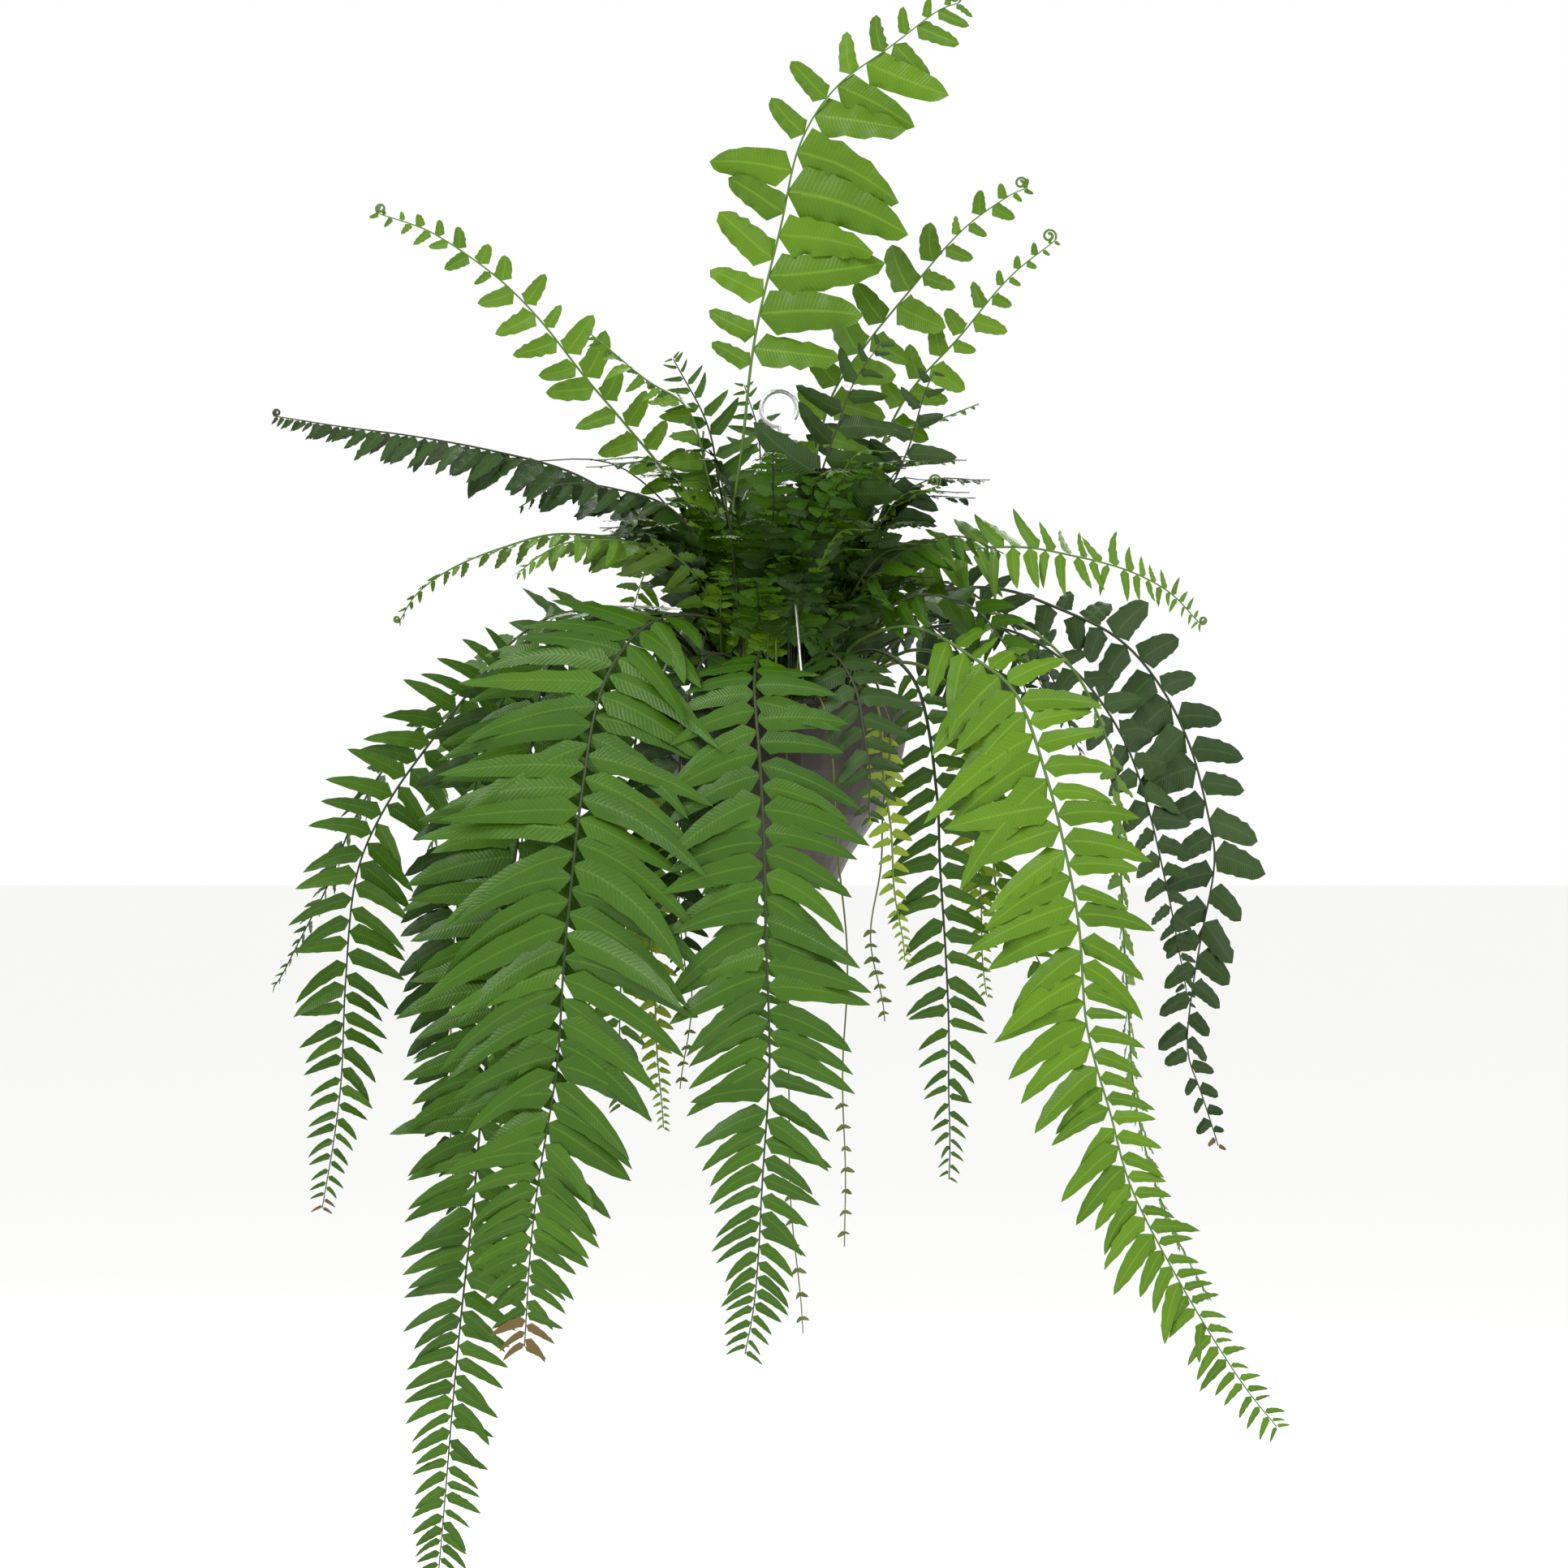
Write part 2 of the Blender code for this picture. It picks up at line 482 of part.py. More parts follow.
class Frond:
    """One frond's midrib and the frames along it."""

    def __init__(self, name, spec):
        self.name = name
        self.spec = spec
        self.stride = 2 if spec.get("open") else 1
        self.segments = spec["leaflets"] * self.stride
        curve = path_points(spec["path"], BASE_LIFT / MM)
        fine = smooth_path(curve, PATH_STEPS)
        bare = round(PATH_STEPS * spec["bare"])
        stations = [round(bare * i / STIPE_SEGMENTS) for i in range(STIPE_SEGMENTS)]
        stations += [round(bare + (PATH_STEPS - bare) * i / self.segments) for i in range(self.segments + 1)]
        self.points = [fine[i] for i in stations]
        self.tangents = [(fine[min(PATH_STEPS, i + 4)] - fine[max(0, i - 4)]).normalized() for i in stations]
        self.sides = self.side_directions()

    def side_directions(self):
        heading = math.radians(self.spec["heading"])
        wanted = Vector((math.cos(heading), math.sin(heading), 0.0))
        sides = []
        for tangent in self.tangents:
            side = (wanted - tangent * wanted.dot(tangent)).normalized()
            sides.append(Matrix.Rotation(math.radians(self.spec.get("roll", 0)), 3, tangent) @ side)
        return sides

    def half_width(self, index):
        last = len(self.points) - 1
        return RACHIS_HALF * (1.0 - 0.6 * index / last)

    def edges_at(self, index):
        half = self.half_width(index)
        return (self.points[index] - self.sides[index] * half, self.points[index] + self.sides[index] * half)

    def leaflet(self, segment, way, scale, turn):
        """The three corners of a leaflet on one side (way -1 or 1) of a blade segment."""
        index = STIPE_SEGMENTS + segment
        start = self.edges_at(index)[(way + 1) // 2]
        end = self.edges_at(index + 1)[(way + 1) // 2]
        share = (segment + 0.5) / self.segments
        tangent = (self.tangents[index] + self.tangents[index + 1]).normalized()
        side = (self.sides[index] + self.sides[index + 1]).normalized()
        drop = math.radians(self.spec["droop"] + turn)
        steep = abs(tangent.z)
        fall = Vector((0, 0, -1)) * (1 - steep) + self.outward(index) * 0.6 * steep
        out = side * way * math.cos(drop) + fall * math.sin(drop)
        out = (out - tangent * out.dot(tangent)).normalized()
        reach = self.spec["reach"] * MM * envelope(share, self.spec.get("taper", TAPER)) * scale
        forward = math.radians(LEAFLET_SWEEP)
        tip = (start + end) / 2 + (out * math.cos(forward) + tangent * math.sin(forward)) * reach
        return start, end, tip

    def outward(self, index):
        """The level direction away from the pot at a station."""
        place = self.points[index]
        level = Vector((place.x, place.y, 0.0))
        return level.normalized() if level.length > 0.01 else Vector((0.0, -1.0, 0.0))


def prism(corners, half):
    """A closed slab about a triangle, as points and faces."""
    a, b, c = corners
    normal = (b - a).cross(c - a).normalized() * half
    points = [p + normal for p in corners] + [p - normal for p in corners]
    faces = [(0, 1, 2), (5, 4, 3), (0, 3, 4, 1), (1, 4, 5, 2), (2, 5, 3, 0)]
    return points, faces


def tube_tree(points, radius):
    """A search tree of a square tube about a path."""
    corners = []
    faces = []
    for i, point in enumerate(points):
        ahead = points[min(i + 1, len(points) - 1)] - points[max(i - 1, 0)]
        across = ahead.cross(Vector((0.3, 0.2, 1.0))).normalized()
        up = across.cross(ahead).normalized()
        corners += [point + (across * u + up * v) * radius for u, v in ((1, 0), (0, 1), (-1, 0), (0, -1))]
        if i:
            faces += [(4 * i - 4 + k, 4 * i - 4 + (k + 1) % 4, 4 * i + (k + 1) % 4, 4 * i + k) for k in range(4)]
    return BVHTree.FromPolygons(corners, faces)


def grow_leaflets(fronds, solids):
    """Fit every leaflet: it is shortened or turned until it clears what is already there."""
    ribs = {frond.name: tube_tree(frond.points, RACHIS_HALF + LEAFLET_CLEARANCE) for frond in fronds}
    grown = {frond.name: {} for frond in fronds}
    slabs = []
    for frond in fronds:
        own = []
        for segment in range(0, frond.segments, frond.stride):
            for way in (-1, 1):
                corners = fit_leaflet(frond, segment, way, ribs, solids, slabs)
                if corners is None:
                    continue
                grown[frond.name][(segment, way)] = corners[2]
                own.append(corners)
        for corners in own:
            points, faces = prism(corners, LEAFLET_CLEARANCE)
            low = Vector(min(p[k] for p in points) for k in range(3))
            high = Vector(max(p[k] for p in points) for k in range(3))
            slabs.append((low, high, BVHTree.FromPolygons(points, faces)))
    return grown


def fit_leaflet(frond, segment, way, ribs, solids, slabs):
    for scale, turn in ((1.0, 0), (1.0, 14), (1.0, -14), (0.85, 0), (0.85, 25), (0.85, -25), (0.65, 0), (0.65, 30),
                        (0.65, -30), (0.45, 0), (0.45, 35), (0.45, -35), (0.3, 0), (0.2, 0)):
        corners = frond.leaflet(segment, way, scale, turn)
        tree = BVHTree.FromPolygons(list(corners), [(0, 1, 2)])
        low = Vector(min(p[k] for p in corners) for k in range(3))
        high = Vector(max(p[k] for p in corners) for k in range(3))
        if any(tree.overlap(other) for name, other in ribs.items() if name != frond.name):
            continue
        if any(tree.overlap(other) for other in solids):
            continue
        near = (box for box in slabs if all(box[0][k] < high[k] and box[1][k] > low[k] for k in range(3)))
        if any(tree.overlap(other) for _, _, other in near):
            continue
        return corners
    return None


def build_frond(frond, tips, group, material):
    """A thin sheet along the midrib with a leaflet on each side of every blade segment."""
    points = []
    for i in range(len(frond.points)):
        points += list(frond.edges_at(i))
    faces = []
    for i in range(len(frond.points) - 1):
        left, right, next_left, next_right = 2 * i, 2 * i + 1, 2 * i + 2, 2 * i + 3
        faces.append((left, right, next_right, next_left))
        segment = i - STIPE_SEGMENTS
        if (segment, -1) in tips:
            points.append(tips[(segment, -1)])
            faces.append((left, next_left, len(points) - 1))
        if (segment, 1) in tips:
            points.append(tips[(segment, 1)])
            faces.append((next_right, right, len(points) - 1))
    item = add_object(frond.name, mesh_from(frond.name, points, faces), group, material)
    shell = item.modifiers.new("thickness", "SOLIDIFY")
    shell.thickness = BLADE_THICKNESS
    shell.offset = 0.0
    return item


def build_runner(name, path, group, material):
    points = smooth_path(path_points(path, (GAP + RUNNER_RADIUS) / MM), 14)
    return bent_wire(name, points, RUNNER_RADIUS, 0, group, material)


def solid_trees(items):
    """Search trees of the finished hard pieces, for the leaflets to keep clear of."""
    bpy.context.view_layer.update()
    graph = bpy.context.evaluated_depsgraph_get()
    trees = []
    for item in items:
        final = item.evaluated_get(graph)
        mesh = final.to_mesh()
        points = [item.matrix_world @ v.co + v.normal * LEAFLET_CLEARANCE for v in mesh.vertices]
        trees.append(BVHTree.FromPolygons(points, [tuple(p.vertices) for p in mesh.polygons]))
        final.to_mesh_clear()
    return trees


def shade(item):
    if item.type == "MESH":
        item.data.shade_smooth()
        item.data.set_sharp_from_angle(angle=math.radians(35))


def main():
    clear_scene()
    group = new_collection("hanging_potted_fern")
    tools = new_collection("cutters")
    plastic = new_material("pot_plastic", (0.030, 0.020, 0.014), 0.45)
    earth = new_material("potting_mix", (0.028, 0.018, 0.010), 0.95)
    bark = new_material("crown_scales", (0.060, 0.032, 0.014), 0.9)
    steel = new_material("galvanised_wire", (0.55, 0.56, 0.56), 0.35, 1.0)
    stem = new_material("runner_stem", (0.110, 0.120, 0.030), 0.7)
    leaves = {kind: new_material("leaf_" + kind, colour, 0.42) for kind, colour in LEAF_COLOURS.items()}

    hard = [build_pot(group, tools, plastic), build_potting_mix(group, earth), build_crown(group, bark)]
    hard += [build_wire("hanger_wire_" + way, angle, group, steel) for way, angle in WIRE_ANGLES.items()]
    hard += [build_cap(group, tools, steel), build_hook(group, steel)]
    hard += [build_runner(name, path, group, stem) for name, path in RUNNERS.items()]

    fronds = [Frond(name, spec) for name, spec in FRONDS.items()]
    tips = grow_leaflets(fronds, solid_trees(hard))
    for frond in fronds:
        hard.append(build_frond(frond, tips[frond.name], group, leaves[frond.spec["leaf"]]))
    for item in hard:
        shade(item)


main()
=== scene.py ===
"""Visual model, materials, lights and camera for the hanging potted sword fern."""
import math

import bpy
import numpy as np
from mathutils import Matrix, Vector

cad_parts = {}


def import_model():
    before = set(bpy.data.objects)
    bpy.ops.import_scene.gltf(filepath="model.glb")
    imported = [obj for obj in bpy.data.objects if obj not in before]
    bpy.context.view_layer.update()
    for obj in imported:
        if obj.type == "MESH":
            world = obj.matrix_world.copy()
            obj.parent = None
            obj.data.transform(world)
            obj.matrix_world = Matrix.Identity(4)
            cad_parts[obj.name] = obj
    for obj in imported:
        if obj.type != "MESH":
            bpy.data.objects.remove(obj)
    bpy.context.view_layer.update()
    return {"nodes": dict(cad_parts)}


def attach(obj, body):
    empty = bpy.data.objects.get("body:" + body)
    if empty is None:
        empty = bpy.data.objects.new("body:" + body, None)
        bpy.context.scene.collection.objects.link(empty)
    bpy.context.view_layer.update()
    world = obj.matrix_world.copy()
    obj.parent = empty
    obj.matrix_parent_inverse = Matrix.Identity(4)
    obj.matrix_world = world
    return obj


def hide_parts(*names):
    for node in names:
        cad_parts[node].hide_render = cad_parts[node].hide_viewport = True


MM = 0.001
RIM_Z = -0.236
CROWN_PROFILE = [(0.0, 13.0), (22.0, 12.0), (42.0, 8.0), (58.0, 1.0), (70.0, -9.7)]
PATH_STEPS = 400
SPAN_STEPS = 16
UP = np.array([0.0, 0.0, 1.0])
RIM_CENTRE = np.array([0.0, 0.0, RIM_Z])

# Camera: level and square on to the front; VIEW_WIDTH is the width it takes in at the plant
CAMERA_DISTANCE = 4.0
CAMERA_X = 0.0037
CAMERA_Z = RIM_Z - 0.0626
VIEW_WIDTH = 1.19784
SENSOR = 36.0
FLOOR_Z = -1.15
FLOOR_REACH = 40.0

# Each frond: its path from the crown in millimetres from the rim's centre (the first height is
# the crown's own), the longest leaflet's length, the bare share of the path, the heading of the
# right-hand leaflets, their droop and the leaf colour, with roll and taper where they differ
# from the usual.
FRONDS = {
    "frond_front_left_broad": dict(
        path=[(-25, -15), (-22, -32, 38), (-50, -58, 62), (-96, -92, 58), (-130, -122, 10),
              (-146, -150, -75), (-155, -166, -170), (-162, -173, -260), (-175, -176, -350),
              (-187, -173, -475)],
        reach=105, bare=0.16, heading=0, droop=12, leaf="mature"),
    "frond_front_left_long": dict(
        path=[(-46, -12), (-75, -24, 46), (-125, -52, 68), (-172, -82, 25), (-190, -106, -75),
              (-203, -118, -165), (-214, -126, -250), (-226, -132, -370), (-234, -136, -445),
              (-243, -138, -560), (-255, -137, -668)],
        reach=78, bare=0.2, heading=0, droop=12, taper=0.2, leaf="mature"),
    "frond_front_centre": dict(
        path=[(-8, -30), (-10, -50, 28), (-14, -85, 36), (-18, -120, 12), (-14, -145, -50),
              (-10, -158, -140), (-8, -163, -225), (-8, -165, -290), (-12, -165, -365),
              (-19, -162, -440), (-25, -158, -480)],
        reach=76, bare=0.12, heading=0, droop=14, leaf="mature"),
    "frond_left_hanging": dict(
        path=[(-53, 2), (-67, -1, 40), (-104, -8, 66), (-172, -26, 54), (-222, -38, 20),
              (-262, -42, -30), (-300, -46, -85), (-320, -50, -135), (-326, -52, -210),
              (-330, -52, -275), (-337, -50, -335), (-344, -46, -384)],
        reach=50, bare=0.3, heading=15, droop=20, leaf="mature"),
    "frond_left_edge": dict(
        path=[(-52, 12), (-75, 22, 42), (-130, 35, 62), (-190, 42, 50), (-248, 45, 8),
              (-298, 44, -42), (-330, 40, -92), (-350, 36, -146), (-380, 32, -205),
              (-390, 30, -220)],
        reach=34, bare=0.35, heading=70, droop=30, leaf="mature"),
    "frond_left_behind": dict(
        path=[(-48, -22), (-80, -40, 45), (-140, -58, 60), (-195, -68, 20), (-225, -72, -50),
              (-240, -74, -150), (-247, -74, -250), (-245, -72, -340), (-240, -70, -385)],
        reach=46, bare=0.3, heading=10, droop=15, leaf="dark"),
    "frond_yellow_left": dict(
        path=[(-45, -40), (-80, -75, 20), (-100, -84, -12), (-101, -82, -70), (-99, -76, -150),
              (-92, -70, -240), (-88, -66, -322)],
        reach=20, bare=0.35, heading=0, droop=20, leaf="yellow"),
    "frond_right_front": dict(
        path=[(40, -25), (55, -38, 42), (100, -62, 56), (148, -85, 30), (178, -98, 2),
              (200, -108, -60), (213, -114, -115), (222, -118, -170), (228, -120, -240),
              (246, -120, -305), (262, -118, -365), (296, -114, -432), (343, -106, -505),
              (371, -100, -541)],
        reach=74, bare=0.16, heading=0, droop=15, taper=0.12, leaf="young"),
    "frond_right_edge": dict(
        path=[(48, -5), (65, -12, 48), (120, -28, 72), (180, -42, 60), (225, -50, 20),
              (252, -54, -50), (258, -56, -130), (262, -58, -220), (266, -60, -290),
              (280, -62, -350), (300, -62, -405), (322, -60, -450)],
        reach=32, bare=0.35, heading=75, droop=10, leaf="young"),
    "frond_right_arch": dict(
        path=[(55, 8), (68, 4, 50), (95, -4, 92), (133, -12, 114), (182, -20, 118), (224, -26, 110),
              (265, -30, 98), (298, -32, 82), (320, -34, 60)],
        reach=48, bare=0.2, heading=-80, droop=8, roll=58, taper=0.3, leaf="young"),
    "frond_far_right": dict(
        path=[(58, 28), (75, 34, 48), (120, 42, 84), (170, 48, 88), (216, 52, 73), (262, 55, 50),
              (296, 56, 12), (320, 56, -36), (333, 54, -90), (336, 50, -125), (326, 46, -180),
              (318, 42, -235), (316, 38, -270), (325, 34, -300), (337, 32, -340)],
        reach=42, bare=0.3, heading=15, droop=30, leaf="dark"),
    "frond_right_middle": dict(
        path=[(50, 16), (72, 14, 38), (120, 12, 58), (175, 8, 55), (225, 4, 25), (260, 0, -22),
              (283, -4, -86), (296, -6, -140), (304, -8, -192), (312, -8, -230)],
        reach=32, bare=0.35, heading=20, droop=20, leaf="dark"),
    "frond_front_right_short": dict(
        path=[(30, -32), (45, -42, 30), (75, -55, 38), (105, -68, 8), (118, -76, -70),
              (121, -78, -120), (124, -78, -190), (128, -78, -250), (127, -76, -300),
              (127, -74, -358)],
        reach=40, bare=0.2, heading=0, droop=18, leaf="mature"),
    "frond_yellow_centre": dict(
        path=[(20, -42), (50, -72, 18), (72, -92, 0), (80, -98, -70), (86, -98, -133),
              (93, -96, -195)],
        reach=16, bare=0.35, heading=0, droop=20, leaf="yellow"),
    "frond_yellow_right": dict(
        path=[(52, -15), (90, -20, 30), (130, -26, 10), (146, -30, -60), (150, -30, -115),
              (157, -28, -223)],
        reach=18, bare=0.4, heading=0, droop=20, leaf="yellow"),
    "frond_right_low": dict(
        path=[(45, 30), (100, 20, 40), (140, 12, 20), (160, 5, -60), (168, 0, -150),
              (190, -5, -185), (210, -8, -226), (228, -10, -276)],
        reach=26, bare=0.3, heading=0, droop=20, leaf="young"),
    "frond_tall_centre": dict(
        path=[(-30, -10), (-37, -16, 115), (-29, -20, 189), (-19, -24, 270), (0, -28, 357),
              (15, -30, 419), (43, -30, 465), (81, -28, 496), (118, -24, 524), (136, -20, 531)],
        reach=74, bare=0.42, heading=0, droop=25, leaf="young"),
    "frond_tall_right": dict(
        path=[(5, 5), (8, 8, 60), (20, 10, 140), (37, 12, 226), (68, 14, 276), (105, 16, 322),
              (143, 18, 363), (174, 18, 388), (187, 18, 395)],
        reach=40, bare=0.4, heading=10, droop=10, leaf="young"),
    "frond_tall_far_right": dict(
        path=[(30, 18), (42, 22, 70), (62, 26, 152), (81, 30, 202), (105, 33, 245), (143, 36, 288),
              (180, 38, 329), (211, 38, 355)],
        reach=26, bare=0.4, heading=10, droop=10, leaf="young"),
    "frond_tall_left": dict(
        path=[(-28, 18), (-45, 22, 80), (-81, 26, 164), (-118, 28, 214), (-149, 30, 251),
              (-186, 32, 295), (-223, 33, 332), (-267, 34, 363), (-310, 34, 378)],
        reach=34, bare=0.35, heading=10, droop=15, leaf="young"),
    "frond_left_level": dict(
        path=[(-35, 34), (-50, 40, 70), (-78, 46, 118), (-112, 50, 148), (-161, 55, 178),
              (-223, 58, 196), (-285, 60, 208), (-347, 60, 215), (-391, 58, 221)],
        reach=46, bare=0.3, heading=80, droop=55, leaf="dark"),
    "frond_left_upper": dict(
        path=[(-45, -2), (-62, -4, 60), (-99, -8, 115), (-161, -14, 128), (-211, -18, 116),
              (-248, -20, 102), (-273, -22, 84), (-288, -22, 62)],
        reach=28, bare=0.35, heading=60, droop=30, leaf="young"),
    "frond_upright_front": dict(
        path=[(12, -18), (20, -30, 80), (30, -42, 160), (48, -52, 220), (75, -58, 268)],
        reach=60, bare=0.3, heading=0, droop=25, leaf="dark"),
    "frond_upright_right": dict(
        path=[(25, 0), (55, -8, 90), (85, -14, 160), (105, -18, 215), (118, -20, 250)],
        reach=44, bare=0.3, heading=5, droop=20, leaf="dark"),
    "frond_upright_back": dict(
        path=[(10, 30), (22, 48, 100), (42, 62, 180), (62, 72, 240)],
        reach=50, bare=0.3, heading=-10, droop=20, leaf="dark"),
    "frond_upright_left": dict(
        path=[(-14, 12), (-30, 8, 90), (-45, 6, 165), (-58, 4, 220), (-82, 2, 262)],
        reach=44, bare=0.3, heading=0, droop=15, leaf="mature"),
    "frond_upper_left": dict(
        path=[(-18, 0), (-34, -6, 90), (-52, -10, 165), (-70, -12, 222), (-100, -14, 246),
              (-146, -16, 280)],
        reach=40, bare=0.35, heading=60, droop=50, leaf="young"),
    "frond_left_dark": dict(
        path=[(-40, -18), (-52, -20, 80), (-75, -22, 140), (-124, -26, 162), (-166, -28, 164),
              (-198, -30, 146)],
        reach=34, bare=0.35, heading=60, droop=40, leaf="dark"),
    "frond_left_bright": dict(
        path=[(-35, -26), (-44, -38, 60), (-72, -52, 104), (-110, -62, 120), (-158, -70, 118),
              (-195, -74, 96)],
        reach=44, bare=0.3, heading=-50, droop=30, leaf="young"),
    "frond_right_sprig": dict(
        path=[(35, 5), (52, 4, 110), (66, 4, 170), (88, 4, 205), (118, 4, 216), (152, 4, 228)],
        reach=16, bare=0.5, heading=80, droop=15, leaf="young"),
    "frond_right_curl": dict(
        path=[(42, -10), (55, -18, 80), (74, -24, 136), (99, -28, 154), (121, -28, 162)],
        reach=18, bare=0.45, heading=80, droop=20, leaf="young"),
    "frond_right_back": dict(
        path=[(50, 30), (84, 46, 70), (128, 62, 94), (167, 72, 74), (192, 78, 42), (206, 80, 12)],
        reach=34, bare=0.3, heading=10, droop=30, leaf="dark"),
    "frond_right_inner": dict(
        path=[(36, -18), (62, -34, 54), (104, -52, 80), (144, -66, 70), (172, -74, 38),
              (186, -78, 2)],
        reach=46, bare=0.3, heading=-40, droop=28, leaf="mature"),
    "frond_right_top": dict(
        path=[(33, -13), (52, -30, 70), (92, -45, 112), (132, -56, 124), (168, -62, 110)],
        reach=42, bare=0.35, heading=-60, droop=42, leaf="mature"),
    "frond_front_fill": dict(
        path=[(-20, -38), (-35, -62, 32), (-56, -95, 30), (-70, -120, -12), (-74, -130, -80),
              (-73, -134, -150), (-70, -134, -205)],
        reach=44, bare=0.2, heading=0, droop=15, leaf="dark"),
    "frond_front_right_fill": dict(
        path=[(12, -40), (28, -66, 34), (46, -98, 30), (60, -120, -5), (66, -128, -50),
              (68, -130, -88)],
        reach=44, bare=0.2, heading=0, droop=15, leaf="dark"),
    "frond_back_middle": dict(
        path=[(0, 45), (0, 75, 55), (-5, 125, 70), (-10, 165, 20), (-15, 185, -80),
              (-18, 190, -180), (-20, 188, -290)],
        reach=66, bare=0.15, heading=180, droop=14, leaf="mature"),
    "frond_back_left": dict(
        path=[(-16, 44), (-40, 85, 60), (-75, 140, 75), (-105, 180, 25), (-120, 202, -70),
              (-126, 208, -190), (-128, 204, -320)],
        reach=66, bare=0.15, heading=170, droop=14, leaf="mature"),
    "frond_back_far_left": dict(
        path=[(-34, 44), (-80, 92, 64), (-140, 142, 66), (-182, 172, 10), (-202, 182, -80),
              (-212, 184, -200), (-214, 178, -350)],
        reach=60, bare=0.2, heading=160, droop=14, leaf="mature"),
    "frond_back_right": dict(
        path=[(16, 46), (32, 92, 62), (48, 148, 72), (55, 188, 20), (58, 200, -45),
              (58, 198, -100)],
        reach=46, bare=0.2, heading=190, droop=14, leaf="mature"),
    "frond_back_far_right": dict(
        path=[(34, 44), (62, 80, 60), (98, 114, 72), (142, 148, 42), (166, 164, -20),
              (176, 168, -90)],
        reach=42, bare=0.25, heading=215, droop=14, leaf="dark"),
    "frond_back_side_right": dict(
        path=[(54, 38), (88, 64, 46), (128, 92, 62), (176, 112, 58), (215, 126, 20),
              (238, 132, -40)],
        reach=36, bare=0.3, heading=235, droop=16, leaf="dark"),
    "frond_back_side_left": dict(
        path=[(-52, 28), (-84, 50, 46), (-125, 74, 70), (-184, 98, 66), (-236, 116, 18),
              (-264, 124, -60), (-278, 124, -130)],
        reach=40, bare=0.3, heading=125, droop=16, leaf="mature"),
    "frond_back_upright": dict(
        path=[(-2, 30), (-8, 58, 110), (-14, 82, 190), (-26, 100, 250)],
        reach=44, bare=0.3, heading=175, droop=18, leaf="mature"),
    "frond_back_high": dict(
        path=[(8, 40), (20, 82, 98), (35, 128, 146), (50, 168, 156), (60, 202, 128), (66, 226, 88)],
        reach=48, bare=0.3, heading=190, droop=16, leaf="young"),
    "frond_back_high_left": dict(
        path=[(-12, 36), (-32, 76, 95), (-62, 122, 138), (-88, 162, 142), (-106, 192, 112),
              (-118, 212, 72)],
        reach=48, bare=0.3, heading=160, droop=16, leaf="young"),
}

# Each runner: its path in millimetres from the rim's centre (the first height is the crown's own)
RUNNERS = {
    "runner_front": [(6, -62), (14, -90, 10), (34, -122, -10), (45, -126, -120), (50, -124, -220),
                     (47, -126, -320), (50, -124, -405)],
    "runner_right": [(40, -50), (62, -78, 12), (82, -98, -20), (76, -88, -110), (70, -84, -180),
                     (78, -82, -240)],
    "runner_left": [(-40, -54), (-54, -88, 14), (-66, -108, -20), (-70, -100, -140),
                    (-66, -98, -210), (-72, -96, -290)],
    "runner_centre": [(-16, -64), (-8, -94, 12), (4, -124, -14), (10, -118, -150), (6, -116, -300),
                      (14, -118, -420), (16, -118, -470)],
}

# How each kind of frond looks: leaflet spacing (mm) at mid blade, leaflet width as a part of its
# length, how pointed it is, the bend towards the frond's tip in degrees, the sag of its end and
# how much the leaflets vary.
LOOKS = {
    "mature": dict(spacing=16.5, width=0.27, point=0.9, bend=17, sag=0.12, vary=0.12, wave=0.06),
    "dark": dict(spacing=17.0, width=0.36, point=0.7, bend=14, sag=0.18, vary=0.2, wave=0.08),
    "young": dict(spacing=16.5, width=0.34, point=0.75, bend=16, sag=0.14, vary=0.22, wave=0.08),
    "yellow": dict(spacing=11.0, width=0.42, point=0.8, bend=15, sag=0.10, vary=0.15, wave=0.05),
}
# Fronds whose leaflets differ from their kind's
SPECIAL = {
    "frond_tall_centre": dict(spacing=32.0, width=0.42, point=0.3, vary=0.25, wave=0.13, sag=0.3,
                              left=0.75, right=1.22, drop_left=-12, drop_right=14),
    "frond_tall_right": dict(spacing=30.0, width=0.55, point=0.4, vary=0.2),
    "frond_tall_far_right": dict(spacing=24.0, width=0.55, point=0.4, vary=0.25),
    "frond_tall_left": dict(spacing=24.0, width=0.50, point=0.5, vary=0.25),
    "frond_far_right": dict(spacing=27.0, width=0.55, point=0.25, vary=0.2, wave=0.08),
    "frond_right_middle": dict(spacing=22.0, width=0.50, point=0.6),
    "frond_right_front": dict(spacing=19.0, width=0.30, point=0.85, vary=0.22, wave=0.09,
                              left=1.18, right=0.8, drop_left=10),
    "frond_right_arch": dict(spacing=13.5, width=0.24, point=0.95, lean_left=-55, lean_right=-8),
    "frond_upright_front": dict(spacing=26.0, width=0.36, point=0.6, vary=0.25, wave=0.1),
    "frond_upright_right": dict(spacing=26.0, width=0.42, point=0.6, vary=0.25, wave=0.1),
    "frond_upright_back": dict(spacing=24.0, width=0.36, point=0.6, vary=0.25, wave=0.1),
    "frond_left_level": dict(spacing=17.0, width=0.34, point=0.9),
    "frond_right_sprig": dict(spacing=13.0, width=0.6, point=0.5),
    "frond_right_curl": dict(spacing=13.0, width=0.6, point=0.5),
}
# Fiddleheads: the radius of the curl at the tip, in millimetres
CURLS = {
    "frond_tall_centre": 5.0, "frond_tall_right": 5.0, "frond_tall_far_right": 5.5,
    "frond_tall_left": 4.0, "frond_right_curl": 5.0, "frond_left_upper": 2.5,
    "frond_right_arch": 3.0, "frond_left_level": 3.0,
}
CURL_POINTS = 26
CURL_TURN = 0.36
# Fronds with a withered end: the share of the blade that is brown
WITHERED = {"frond_front_left_broad": 0.035, "frond_left_hanging": 0.02, "frond_far_right": 0.02}
WITHERED_BROWN = (0.11, 0.075, 0.022)
LEAF_SPECULAR = 0.24

